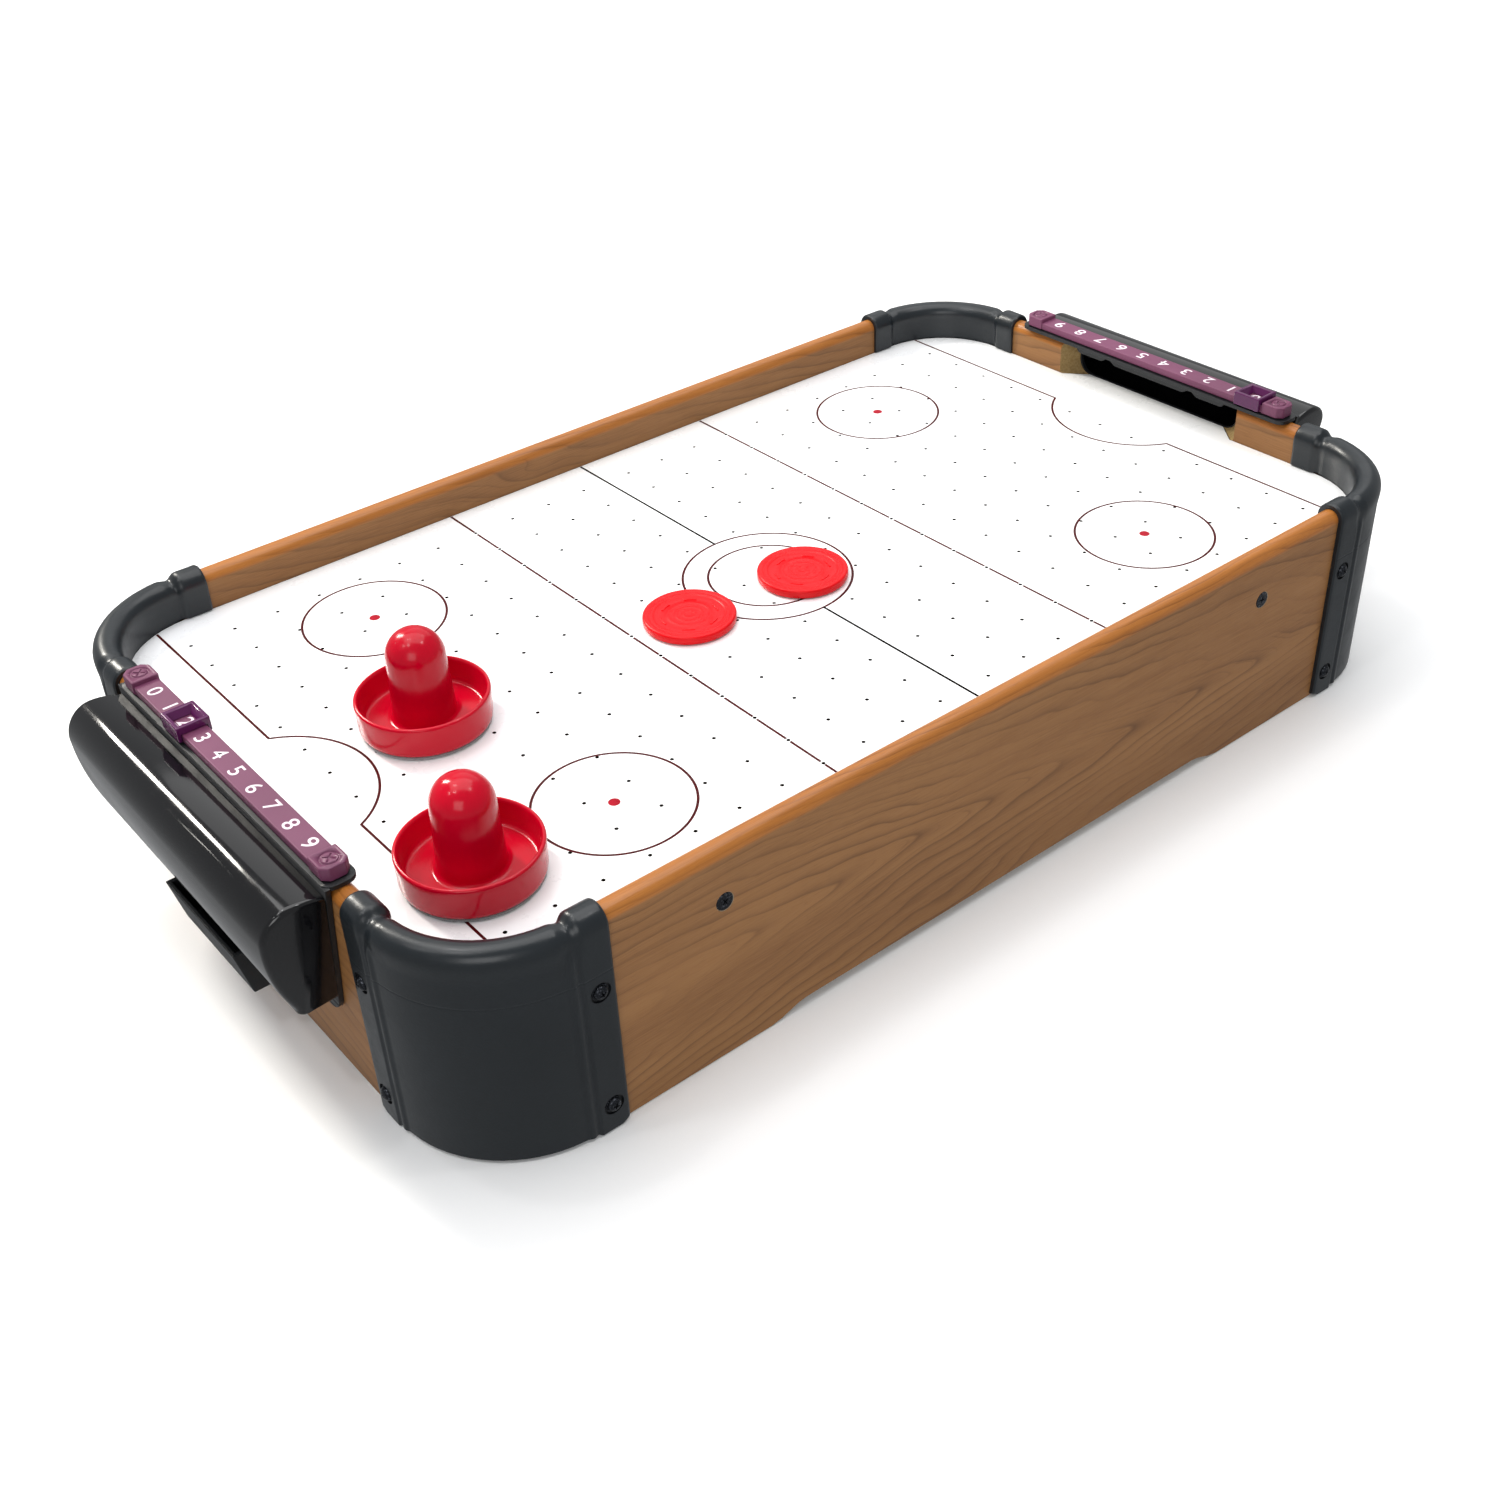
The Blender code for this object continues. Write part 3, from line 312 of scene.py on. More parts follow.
LEAD_RED = moulded("lead_red", srgb(150, 20, 20), 0.45, 0.2)
SCREW = blackened_steel()
STEEL = plain_steel()
FELT = felt_cloth()
SLEEVE = cell_sleeve()


# -------- shapes

def shift(x, y, z):
    return Matrix.Translation((x, y, z))


def spun(degrees, axis):
    return Matrix.Rotation(math.radians(degrees), 4, axis)


def new_item(name, data):
    item = bpy.data.objects.new(name, data)
    bpy.context.scene.collection.objects.link(item)
    return item


def shaded(item, angle):
    item.data.shade_smooth()
    item.data.set_sharp_from_angle(angle=math.radians(angle))
    return item


def new_object(name, bm, look, smooth=35):
    """A mesh object from a bmesh, shaded smooth up to an angle; look is a material or a list of them."""
    bmesh.ops.recalc_face_normals(bm, faces=bm.faces)
    mesh = bpy.data.meshes.new(name)
    bm.to_mesh(mesh)
    bm.free()
    for one in look if isinstance(look, list) else [look]:
        mesh.materials.append(one)
    return shaded(new_item(name, mesh), smooth)


def shown_mesh(item):
    """What an object shows, with its modifiers or as a filled curve, as a mesh."""
    bpy.context.view_layer.update()
    return bpy.data.meshes.new_from_object(item.evaluated_get(bpy.context.evaluated_depsgraph_get()))


def applied(item):
    """Put the result of an object's modifiers into its mesh."""
    mesh = shown_mesh(item)
    item.modifiers.clear()
    item.data = mesh
    return item


def bevelled(item, width, segments=2, smooth=50):
    bevel = item.modifiers.new("bevel", "BEVEL")
    bevel.width = width
    bevel.segments = segments
    bevel.limit_method = "ANGLE"
    bevel.angle_limit = math.radians(30)
    bevel.use_clamp_overlap = True
    applied(item)
    shaded(item, smooth)
    weighted = item.modifiers.new("weighted", "WEIGHTED_NORMAL")
    weighted.keep_sharp = True
    return applied(item)


def cut(item, *cutters, operation="DIFFERENCE"):
    """Cut solids out of an item, or join them to it, and remove them. A cut face keeps the cutter's look."""
    for cutter in cutters:
        boolean = item.modifiers.new("cut", "BOOLEAN")
        boolean.operation = operation
        boolean.solver = "EXACT"
        boolean.material_mode = "TRANSFER"
        boolean.object = cutter
        applied(item)
        bpy.data.objects.remove(cutter)
    return item


def loft(name, rings, look, smooth=35, strips=None):
    """A surface through rings of points; strips gives the material's number for each side of a ring."""
    bm = bmesh.new()
    loops = [[bm.verts.new(point) for point in ring] for ring in rings]
    count = len(loops[0])
    for a, b in zip(loops, loops[1:]):
        for i in range(count):
            j = (i + 1) % count
            face = bm.faces.new((a[i], a[j], b[j], b[i]))
            if strips:
                face.material_index = strips[i]
    bm.faces.new(loops[0])
    bm.faces.new(loops[-1])
    return new_object(name, bm, look, smooth)


def turned(name, profile, look, steps=64, smooth=35):
    """A solid of revolution about Z, from (radius, height) points in mm that start and end on the axis."""
    profile = [(r * MM, z * MM) for r, z in profile]
    bm = bmesh.new()
    first = bm.verts.new((0, 0, profile[0][1]))
    last = bm.verts.new((0, 0, profile[-1][1]))
    rings = []
    angles = [2 * math.pi * k / steps for k in range(steps)]
    for radius, height in profile[1:-1]:
        rings.append([bm.verts.new((radius * math.cos(a), radius * math.sin(a), height)) for a in angles])
    for k in range(steps):
        j = (k + 1) % steps
        bm.faces.new((first, rings[0][k], rings[0][j]))
        bm.faces.new((last, rings[-1][j], rings[-1][k]))
        for a, b in zip(rings, rings[1:]):
            bm.faces.new((a[k], b[k], b[j], a[j]))
    return new_object(name, bm, look, smooth)


def block(name, x, y, z, look):
    bm = bmesh.new()
    bmesh.ops.create_cube(bm, size=1.0)
    size = Vector((x[1] - x[0], y[1] - y[0], z[1] - z[0]))
    middle = Vector(((x[0] + x[1]) / 2, (y[0] + y[1]) / 2, (z[0] + z[1]) / 2))
    bmesh.ops.transform(bm, matrix=shift(*middle) @ Matrix.Diagonal((*size, 1.0)), verts=bm.verts)
    return new_object(name, bm, look)


def filled(name, curve, merge):
    """A curve's or a text's filled shape as a bmesh, its double points merged."""
    item = new_item(name, curve)
    mesh = shown_mesh(item)
    bpy.data.objects.remove(item)
    bm = bmesh.new()
    bm.from_mesh(mesh)
    bmesh.ops.remove_doubles(bm, verts=bm.verts, dist=merge)
    return bm


def outline(name, loops, thickness, place, look, smooth=35):
    """A flat outline in its own XY plane, given thickness along its Z, with holes as extra loops."""
    curve = bpy.data.curves.new(name, "CURVE")
    curve.dimensions = "2D"
    curve.fill_mode = "BOTH"
    curve.extrude = thickness / 2
    for loop in loops:
        spline = curve.splines.new("POLY")
        spline.points.add(len(loop) - 1)
        for point, (u, v) in zip(spline.points, loop):
            point.co = (u, v, 0.0, 1.0)
        spline.use_cyclic_u = True
    bm = filled(name, curve, 1e-6)
    bmesh.ops.transform(bm, matrix=place, verts=bm.verts)
    return new_object(name, bm, look, smooth)


def arc(centre, radius, start, end, steps):
    angles = [math.radians(start + (end - start) * i / steps) for i in range(steps + 1)]
    return [(centre[0] + radius * math.cos(a), centre[1] + radius * math.sin(a)) for a in angles]


def rounded_rectangle(half_x, half_y, radius, steps=6):
    points = []
    for quarter, (sx, sy) in enumerate(((1, 1), (-1, 1), (-1, -1), (1, -1))):
        centre = (sx * (half_x - radius), sy * (half_y - radius))
        points += arc(centre, radius, 90 * quarter, 90 * quarter + 90, steps)
    return points


def ease(t):
    return t * t * (3 - 2 * t)


def eased(keys, place):
    """A smooth curve through (place, value) keys."""
    if place <= keys[0][0]:
        return keys[0][1]
    for (a, low), (b, high) in zip(keys, keys[1:]):
        if place <= b:
            return low + (high - low) * ease((place - a) / (b - a))
    return keys[-1][1]


def moved(item, matrix):
    item.data.transform(matrix)
    if matrix.determinant() < 0:
        item.data.flip_normals()
    return item


def copied(item, name, matrix):
    return moved(new_item(name, item.data.copy()), matrix)


def joined(items):
    """Several objects as one, under the first one's name."""
    first = items[0]
    bm = bmesh.new()
    looks = []
    for item in items:
        start = len(bm.faces)
        bm.from_mesh(item.data)
        bm.faces.ensure_lookup_table()
        numbers = []
        for look in item.data.materials:
            if look not in looks:
                looks.append(look)
            numbers.append(looks.index(look))
        for face in bm.faces[start:]:
            face.material_index = numbers[min(face.material_index, len(numbers) - 1)]
    mesh = bpy.data.meshes.new(first.name)
    bm.to_mesh(mesh)
    bm.free()
    for look in looks:
        mesh.materials.append(look)
    first.data = mesh
    for item in items[1:]:
        bpy.data.objects.remove(item)
    return first


def stand_in(item, *nodes):
    """The item is shown instead of these CAD nodes, on their body."""
    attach(item, BODY_OF[nodes[0]])
    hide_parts(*nodes)
    return item


def softened(node, name, width, look, segments=2):
    """A copy of a CAD node's shape with rounded edges, in its place."""
    bm = bmesh.new()
    bm.from_mesh(NODES[node].data)
    bmesh.ops.remove_doubles(bm, verts=bm.verts, dist=1e-6)
    bmesh.ops.dissolve_limit(bm, angle_limit=math.radians(1), verts=bm.verts, edges=bm.edges)
    for face in bm.faces:
        face.material_index = 0
    return stand_in(bevelled(new_object(name, bm, look, 40), width, segments, smooth=40), node)


def middle_of(node):
    low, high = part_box(node)
    return (low + high) / 2


def relooked(node, look):
    """A CAD node keeps its shape and gets another material."""
    NODES[node].data.materials.clear()
    NODES[node].data.materials.append(look)


MIRROR = {(end, side): (sx, sy) for end, sx in (("far", 1), ("near", -1))
          for side, sy in (("left", 1), ("right", -1))}


# -------- walls

ARCH_FOOT, ARCH_TOP, ARCH_RISE = 127 * MM, 110 * MM, 4 * MM
ARCH = [(-ARCH_FOOT, 0.0), (-ARCH_TOP, ARCH_RISE), (ARCH_TOP, ARCH_RISE), (ARCH_FOOT, 0.0)]


def board_section(inner, outer, low):
    """A board's section as (across, height): small chamfers below and a half-round top."""
    chamfer = 0.5 * MM * (1 if outer > inner else -1)
    points = [(outer - chamfer, low), (outer, low + abs(chamfer)), (outer, 30 * MM), (outer, 60 * MM)]
    middle, half = (inner + outer) / 2, (outer - inner) / 2
    for k in range(17):
        a = math.pi * k / 16
        points.append((middle + half * math.cos(a), WALL_TOP - abs(half) + abs(half) * math.sin(a)))
    return points + [(inner, 60 * MM), (inner, low + abs(chamfer)), (inner + chamfer, low)]


def board(name, rings, look):
    """A board through its sections: foil on its sides and top, bare below."""
    strips = [1] + [0] * (len(rings[0]) - 3) + [1, 1]
    return loft(f"board_{name}", rings, [look, RAW_EDGE], strips=strips, smooth=40)


def side_board(side, sign, look):
    reach = WALL_HIGH.x
    stations = [-reach, -ARCH_FOOT, -122 * MM, -118 * MM, -114 * MM, -ARCH_TOP, 0.0]
    stations += [-x for x in reversed(stations[:-1])]
    rings = [[(x, sign * y, z) for y, z in board_section(IN_Y, OUT_Y, eased(ARCH, x))] for x in stations]
    item = board(side, rings, look)
    for end in ("near", "far"):
        at = middle_of(f"side_screw_{end}_{side}")
        sink = turned("sink", [(0, 1), (4.7, 1), (1.4, -3), (0, -3)], RAW_EDGE, 32)
        cut(item, moved(sink, shift(at.x, sign * OUT_Y, at.z) @ spun(-90 * sign, "X")))
    return stand_in(shaded(item, 40), f"side_wall_{side}")


MOUTH_IN = 56 * MM
MOUTH_OUT = 50.5 * MM
FILLET_IN = 1.5 * MM
FILLET_OUT = 7 * MM


def across_mouth(x, inner, outer):
    """A measure at x through the end board, from its value at the inner face and at the outer one."""
    return inner + (outer - inner) * (x - IN_X) / (OUT_X - IN_X)


def mouth_floor(x):
    """Half the width of the mouth's floor at x, where the field's tab lies."""
    return across_mouth(x, MOUTH_IN - FILLET_IN, MOUTH_OUT - FILLET_OUT)


def mouth_outline(x):
    """The goal mouth at x as (y, z) points: a slot for the field's tab, filleted corners, open above."""
    half = across_mouth(x, MOUTH_IN, MOUTH_OUT)
    fillet = across_mouth(x, FILLET_IN, FILLET_OUT)
    slot = half - fillet
    low = FIELD_TOP - 0.1 * MM
    high = WALL_TOP + FILLET_OUT
    points = [(half, high), (-half, high)]
    points += arc((-slot, low + fillet), fillet, 180, 270, 8)
    points += [(-slot, FIELD_LOW.z - 0.3 * MM), (slot, FIELD_LOW.z - 0.3 * MM)]
    return points + arc((slot, low + fillet), fillet, 270, 360, 8)


def end_board(end, sign, look):
    """An end board: its goal mouth is open at the top and splays towards the rink with bare ends."""
    reach = END_HIGH.y
    rings = [[(sign * x, y, z) for x, z in board_section(IN_X, OUT_X, 0.0)]
             for y in (-reach, -60 * MM, 0.0, 60 * MM, reach)]
    item = board(end, rings, look)
    rings = [[(sign * x, y, z) for y, z in mouth_outline(x)] for x in (IN_X - 0.5 * MM, OUT_X + 0.5 * MM)]
    cut(item, loft("mouth", rings, RAW_MDF))
    return stand_in(shaded(item, 40), f"end_wall_{end}")


side_board("right", -1, WOOD_SIDE)
side_board("left", 1, WOOD_LEFT)
end_board("near", -1, WOOD_NEAR)
end_board("far", 1, WOOD_FAR)


# -------- corner posts

BOARD_MIDDLE_X = (OUT_X + IN_X) / 2
BOARD_MIDDLE_Y = (OUT_Y + IN_Y) / 2
CORNER_R = 44 * MM
CORNER_X = BOARD_MIDDLE_X - CORNER_R
CORNER_Y = BOARD_MIDDLE_Y - CORNER_R
QUARTER = CORNER_R * math.pi / 2
SKIN = 1.7 * MM
SCREW_BACK = 6.3 * MM
SCREW_SEAT = 5.9 * MM

# How a post's section changes with the way (mm) from where its bend starts; offsets from the boards' middle
POST_FACE = [(-12.5, 6.2), (-11.7, 6.8), (-0.8, 6.8), (0.7, 6.1), (1.0, 6.1), (2.2, 6.65), (2.8, 6.65),
             (4.6, 5.9)]
POST_TUBE = [(-12.5, 6.2), (-11.7, 6.8), (-2.4, 6.8), (1.5, 5.55), (6.5, 6.35)]
POST_INNER = [(-12.5, -6.1), (-11.7, -6.6), (-2.2, -6.6), (1.4, -4.9), (5.5, -5.4)]
POST_TOP = [(-12.5, 96.0), (-11.7, 96.6), (-2.6, 96.6), (1.5, 94.2), (6.0, 95.2)]
POST_LOW = [(-12.5, 1.8), (-9.0, 0.1), (-0.4, 0.1), (0.8, 0.9)]


def post_ring(way):
    """The section of a corner post at a way along it, as (offset, height) points."""
    d = way / MM
    outer, tube, inner, top, low = [eased(keys, d) * MM for keys in
                                    (POST_FACE, POST_TUBE, POST_INNER, POST_TOP, POST_LOW)]
    radius = (tube - inner) / 2
    middle = (tube + inner) / 2
    spring = top - radius
    face_in = inner + 0.35 * MM
    round_low = 0.5 * MM
    seam = 0.07 * MM
    points = [(outer - round_low, low), (outer, low + round_low), (outer, low + 2 * round_low)]
    points += [(outer, z * MM) for z in (22, 44, 60, 71.2, 71.8)]
    points += [(outer - seam, 72 * MM), (outer, 72.2 * MM), (outer, 72.8 * MM)]
    neck = spring - 7 * MM
    points.append((outer, neck - 0.6 * MM))
    for k in range(8):
        t = k / 7
        points.append((outer + (tube - outer) * ease(t), neck + 7 * MM * t))
    points += arc((middle, spring), radius, 0, 180, 16)[1:]
    for k in range(1, 5):
        t = k / 4
        points.append((inner + (face_in - inner) * ease(t), spring - 6 * MM * t))
    foot = FIELD_TOP + 0.3 * MM
    points += [(face_in, foot + 0.4 * MM), (face_in + 0.4 * MM, foot), (face_in + SKIN, foot)]
    points += arc((middle, spring), radius - SKIN, 180, 0, 8)
    return points + [(outer - SKIN, neck), (outer - SKIN, low)]


def post_place(way, offset, z):
    """A point of the far left post: its way along the path, offset from the path and height."""
    if way < 0:
        return (CORNER_X + CORNER_R + offset, CORNER_Y + way, z)
    if way > QUARTER:
        return (CORNER_X - (way - QUARTER), CORNER_Y + CORNER_R + offset, z)
    a = way / CORNER_R
    return (CORNER_X + (CORNER_R + offset) * math.cos(a), CORNER_Y + (CORNER_R + offset) * math.sin(a), z)


def post_screw_places():
    """The four screws of the far left post as (board that they point into, level, place)."""
    found = []
    for level in ("low", "high"):
        z = middle_of(f"corner_screw_far_left_end_{level}").z
        found.append(("end", level, Vector((BOARD_MIDDLE_X + SCREW_SEAT, CORNER_Y - SCREW_BACK, z))))
        found.append(("side", level, Vector((CORNER_X - SCREW_BACK, BOARD_MIDDLE_Y + SCREW_SEAT, z))))
    return found


def screw_turn(way):
    return spun(90, "Y") if way == "end" else spun(-90, "X")


def corner_post():
    ways = [-12.5, -12.25, -11.9, -11.4, -9, -6, -3, -2, -1.2, -0.7, -0.3, 0, 0.4, 0.8, 1.2, 1.6, 2.0, 2.4,
            2.8, 3.2, 3.6, 4.1, 4.7, 5.4, 6.2]
    half = QUARTER / MM / 2
    ways = [w * MM for w in ways + [6.2 + (half - 6.2) * k / 8 for k in range(1, 9)]]
    ways += [QUARTER - w for w in reversed(ways[:-1])]
    rings = []
    for way in ways:
        section = post_ring(min(way, QUARTER - way))
        rings.append([post_place(way, offset, z) for offset, z in section])
    item = loft("corner_post_far_left", rings, BLACK_RAIL, smooth=38)
    for way, level, at in post_screw_places():
        pocket = turned("pocket", [(0, 5), (4.3, 5), (4.0, 0), (0, 0)], BLACK_SATIN, 40)
        cut(item, moved(pocket, shift(*at) @ screw_turn(way)))
    return shaded(item, 38)


def cross(size, depth, width):
    """A cross recess as a cutter: two tapered bars."""
    bars = []
    for turn in (0, math.pi / 2):
        bm = bmesh.new()
        bmesh.ops.create_cube(bm, size=1.0)
        for vert in bm.verts:
            taper = 1.0 if vert.co.z > 0 else 0.55
            vert.co = Vector((vert.co.x * size * 2 * taper, vert.co.y * width * taper, vert.co.z * depth * 2))
        bmesh.ops.rotate(bm, cent=(0, 0, 0), matrix=Matrix.Rotation(turn, 3, "Z"), verts=bm.verts)
        bars.append(new_object("bar", bm, SCREW))
    return cut(bars[0], bars[1], operation="UNION")


def screw(name, profile, recess, height):
    """A screw that points up, from its profile (mm), with a cross recess."""
    item = turned(name, profile, SCREW, 36, 40)
    return shaded(cut(item, moved(cross(*[v * MM for v in recess]), shift(0, 0, height * MM))), 40)


# A pan head with a small washer face, and a countersunk head whose face is level with Z = 0
PAN_HEAD = [(0, 2.3), (0.8, 2.27), (1.5, 2.12), (2.1, 1.85), (2.55, 1.45), (2.8, 0.9), (2.85, 0.5),
            (3.15, 0.45), (3.25, 0.3), (3.25, 0), (1.4, 0), (1.4, -7), (0, -8)]
FLAT_HEAD = [(0, 0.05), (1.8, 0.0), (3.4, -0.05), (3.65, -0.3), (1.5, -2.2), (1.5, -18), (0, -20)]


def chance_turn():
    return Matrix.Rotation(random.uniform(0, math.pi / 2), 4, "Z")


def build_posts():
    random.seed(7)
    post = corner_post()
    pan = screw("pan", PAN_HEAD, (1.75, 1.2, 0.75), 2.4)
    flat = screw("flat", FLAT_HEAD, (2.0, 1.2, 0.8), 0.1)
    for (end, side), (sx, sy) in MIRROR.items():
        mirror = Matrix.Diagonal((sx, sy, 1, 1))
        stand_in(copied(post, f"corner_post_{end}_{side}_shell", mirror), f"corner_{end}_{side}")
        for way, level, at in post_screw_places():
            made = copied(pan, f"pan_{end}_{side}_{way}_{level}",
                          mirror @ shift(*at) @ screw_turn(way) @ chance_turn())
            stand_in(made, f"corner_screw_{end}_{side}_{way}_{level}")
    for (end, side), (sx, sy) in MIRROR.items():
        node = f"side_screw_{end}_{side}"
        at = middle_of(node)
        place = shift(at.x, sy * (OUT_Y + 0.15 * MM), at.z) @ spun(-90 * sy, "X")
        stand_in(copied(flat, f"flat_{end}_{side}", place @ chance_turn()), node)
    for item in (post, pan, flat):
        bpy.data.objects.remove(item)


build_posts()


# -------- field

PITCH = 20 * MM
FIRST_ROW = 13.12 * MM
HOLE_R = 0.82 * MM
PRINT_Z = FIELD_TOP + 0.03 * MM
PRINT_T = 0.02 * MM
LINE_W = 1.1 * MM
BLUE_LINE_X = 73.2 * MM
GOAL_LINE_X = 220 * MM
CREASE = 36 * MM
CREASE_R = 40.4 * MM
CENTRE_RS = (36.8 * MM, 25.8 * MM)
FACE_OFF = (144.6 * MM, 86.8 * MM)
FACE_OFF_R = 30.4 * MM
SPOT_R = 2.3 * MM
INNER_SKIN = 5.1 * MM

HOLES = [(sign * (FIRST_ROW + row * PITCH), column * PITCH)
         for row in range(11) for sign in (-1, 1) for column in range(-6, 7)]


def near_hole(x, y, reach):
    return any(math.dist((x, y), hole) < reach for hole in HOLES)


def field_sheet():
    """The drilled sheet: white laminate on top, and below and in the holes' walls bare board painted near
    black, as painted shade in the holes.
    """
    radius = CORNER_R - BULLNOSE - 0.3 * MM
    edge = rounded_rectangle(IN_X - 0.3 * MM, FIELD_HIGH.y, radius, 12)
    tab = [(IN_X - 0.3 * MM, mouth_floor(IN_X) - 0.6 * MM), (FIELD_HIGH.x, mouth_floor(OUT_X) - 0.6 * MM)]
    far = [(x, -y) for x, y in tab] + [(x, y) for x, y in reversed(tab)]
    near = [(-x, y) for x, y in tab] + [(-x, -y) for x, y in reversed(tab)]
    half = len(edge) // 2
    loops = [edge[:half] + near + edge[half:] + far]
    loops += [arc(hole, HOLE_R, 0, 330, 11) for hole in HOLES]
    thickness = FIELD_TOP - FIELD_LOW.z
    item = outline("field_sheet", loops, thickness, shift(0, 0, FIELD_TOP - thickness / 2),
                   [LAMINATE, HOLE_SHADE_BOARD], 30)
    # Faces that do not face up get the near-black board: painted shade inside the holes and under the sheet
    for face in item.data.polygons:
        face.material_index = 0 if face.normal.z > 0.5 else 1
    return stand_in(item, "playfield")


def ribbon(bm, points, width, closed=False):
    """A thin printed line along points, left open where it crosses an air hole."""
    dense = []
    ends = points + [points[0]] if closed else points
    for a, b in zip(ends, ends[1:]):
        count = max(1, round(math.dist(a, b) / (0.6 * MM)))
        dense += [(a[0] + (b[0] - a[0]) * k / count, a[1] + (b[1] - a[1]) * k / count) for k in range(count)]
    dense.append(ends[-1])
    run = []
    for i, (x, y) in enumerate(dense):
        blocked = near_hole(x, y, HOLE_R + 0.15 * MM)
        if not blocked:
            before = dense[i - 1] if i else dense[-2] if closed else dense[0]
            after = dense[i + 1] if i + 1 < len(dense) else dense[1] if closed else dense[-1]
            along = Vector((after[0] - before[0], after[1] - before[1])).normalized()
            nx, ny = -along.y * width / 2, along.x * width / 2
            run.append(((x + nx, y + ny), (x - nx, y - ny)))
        if blocked or i + 1 == len(dense):
            if len(run) > 1:
                solid_strip(bm, run)
            run = []


def solid_strip(bm, run):
    """A closed thin strip through pairs of side points."""
    rings = []
    for (lx, ly), (rx, ry) in run:
        rings.append([bm.verts.new(p) for p in ((lx, ly, PRINT_Z), (rx, ry, PRINT_Z),
                                                (rx, ry, PRINT_Z - PRINT_T), (lx, ly, PRINT_Z - PRINT_T))])
    for a, b in zip(rings, rings[1:]):
        for i in range(4):
            bm.faces.new((a[i], a[(i + 1) % 4], b[(i + 1) % 4], b[i]))
    bm.faces.new(rings[0])
    bm.faces.new(rings[-1])


def circle(centre, radius, steps=160):
    return arc(centre, radius, 0, 360 * (steps - 1) / steps, steps - 1)


def field_print():
    """The rink's printed lines and spots."""
    bm = bmesh.new()
    spots = []
    edge = IN_Y - 0.6 * MM
    for sx in (-1, 1):
        ribbon(bm, [(sx * BLUE_LINE_X, -edge), (sx * BLUE_LINE_X, edge)], LINE_W)
        centre = GOAL_LINE_X + math.sqrt(CREASE_R ** 2 - CREASE ** 2)
        half_angle = math.degrees(math.asin(CREASE / CREASE_R))
        crease = [(sx * x, y) for x, y in arc((centre, 0), CREASE_R, 180 - half_angle, 180 + half_angle, 80)]
        reach = CORNER_Y + math.sqrt((CORNER_R - INNER_SKIN) ** 2 - (GOAL_LINE_X - CORNER_X) ** 2)
        ribbon(bm, [(sx * GOAL_LINE_X, reach)] + crease + [(sx * GOAL_LINE_X, -reach)], LINE_W)
        for sy in (-1, 1):
            ribbon(bm, [(0.0, sy * CENTRE_RS[0]), (0.0, sy * edge)], LINE_W)
            at = (sx * FACE_OFF[0], sy * FACE_OFF[1])
            ribbon(bm, circle(at, FACE_OFF_R), LINE_W, True)
            spots.append(circle(at, SPOT_R, 36))
    for radius in CENTRE_RS:
        ribbon(bm, circle((0, 0), radius), LINE_W, True)
    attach(new_object("field_lines", bm, INK), "table")
    low = shift(0, 0, PRINT_Z - PRINT_T / 2)
    made = [outline(f"field_spots_{k}", [spot], PRINT_T, low, SPOT_INK) for k, spot in enumerate(spots)]
    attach(joined(made), "table")


field_sheet()
field_print()
for end in ("near", "far"):
    softened(f"batten_{end}", f"batten_{end}_wood", 0.4 * MM, PINE)
relooked("chamber_floor", HARDBOARD)


# -------- goals (built at the far end; X is outwards)

ON_YZ = Matrix(((0, 0, 1, 0), (1, 0, 0, 0), (0, 1, 0, 0), (0, 0, 0, 1)))
DRAFT = 0.17
GOAL_HALF = 82 * MM
COVER_TOP = 92 * MM
COVER_T = 2.2 * MM
PLATE_BACK = OUT_X + 0.3 * MM
PLATE_FACE = PLATE_BACK + 2 * MM
NOSE_X = OUT_X + 14.5 * MM
NOSE_Z = 82.8 * MM
NOSE_R = 12.2 * MM
DOME = 2.4 * MM
FRONT_CURVE = 0.0062
FRONT_DEEP = 38
TOE_R = 2 * MM
FLANGE_Z = 96 * MM
FLANGE_T = 1.7 * MM
BRACKET_LOW = 32 * MM
BRACKET_R = 8 * MM
LIP_LOW = 90.5 * MM
LIP_HALF = 46.8 * MM
LIP_R = 2.5 * MM
LIP_T = 1.8 * MM
LIP_NOTCH_Y = 26 * MM
LIP_NOTCH = (5 * MM, 2.2 * MM)
RAMP_T = 13.5 * MM
SCALE_T = 3.5 * MM
DIGIT_PITCH = 13.7 * MM


def cover_profile(inset):
    """The cover's section as (x, z): a domed top, a round nose, and a front that curves in below."""
    back = PLATE_FACE + 0.3 * MM
    radius = NOSE_R - inset
    points = []
    for k in range(6):
        rise = math.sin(math.pi / 2 * k / 6)
        points.append((back + (NOSE_X - back) * k / 6, NOSE_Z + radius - DOME * (1 - rise)))
    points += arc((NOSE_X, NOSE_Z), radius, 90, 0, 20)
    for drop in range(4, FRONT_DEEP + 1, 2):
        points.append((NOSE_X + radius - FRONT_CURVE * drop * drop * MM, NOSE_Z - drop * MM))
    toe_x, toe_z = points[-1]
    points += arc((toe_x - TOE_R, toe_z - 1 * MM), TOE_R, 0, -80, 5)
    return points + [(back, NOSE_Z - (FRONT_DEEP + 3.5) * MM + inset)]


def drafted(y, z, half):
    return y * (half - DRAFT * (COVER_TOP - z)) / half


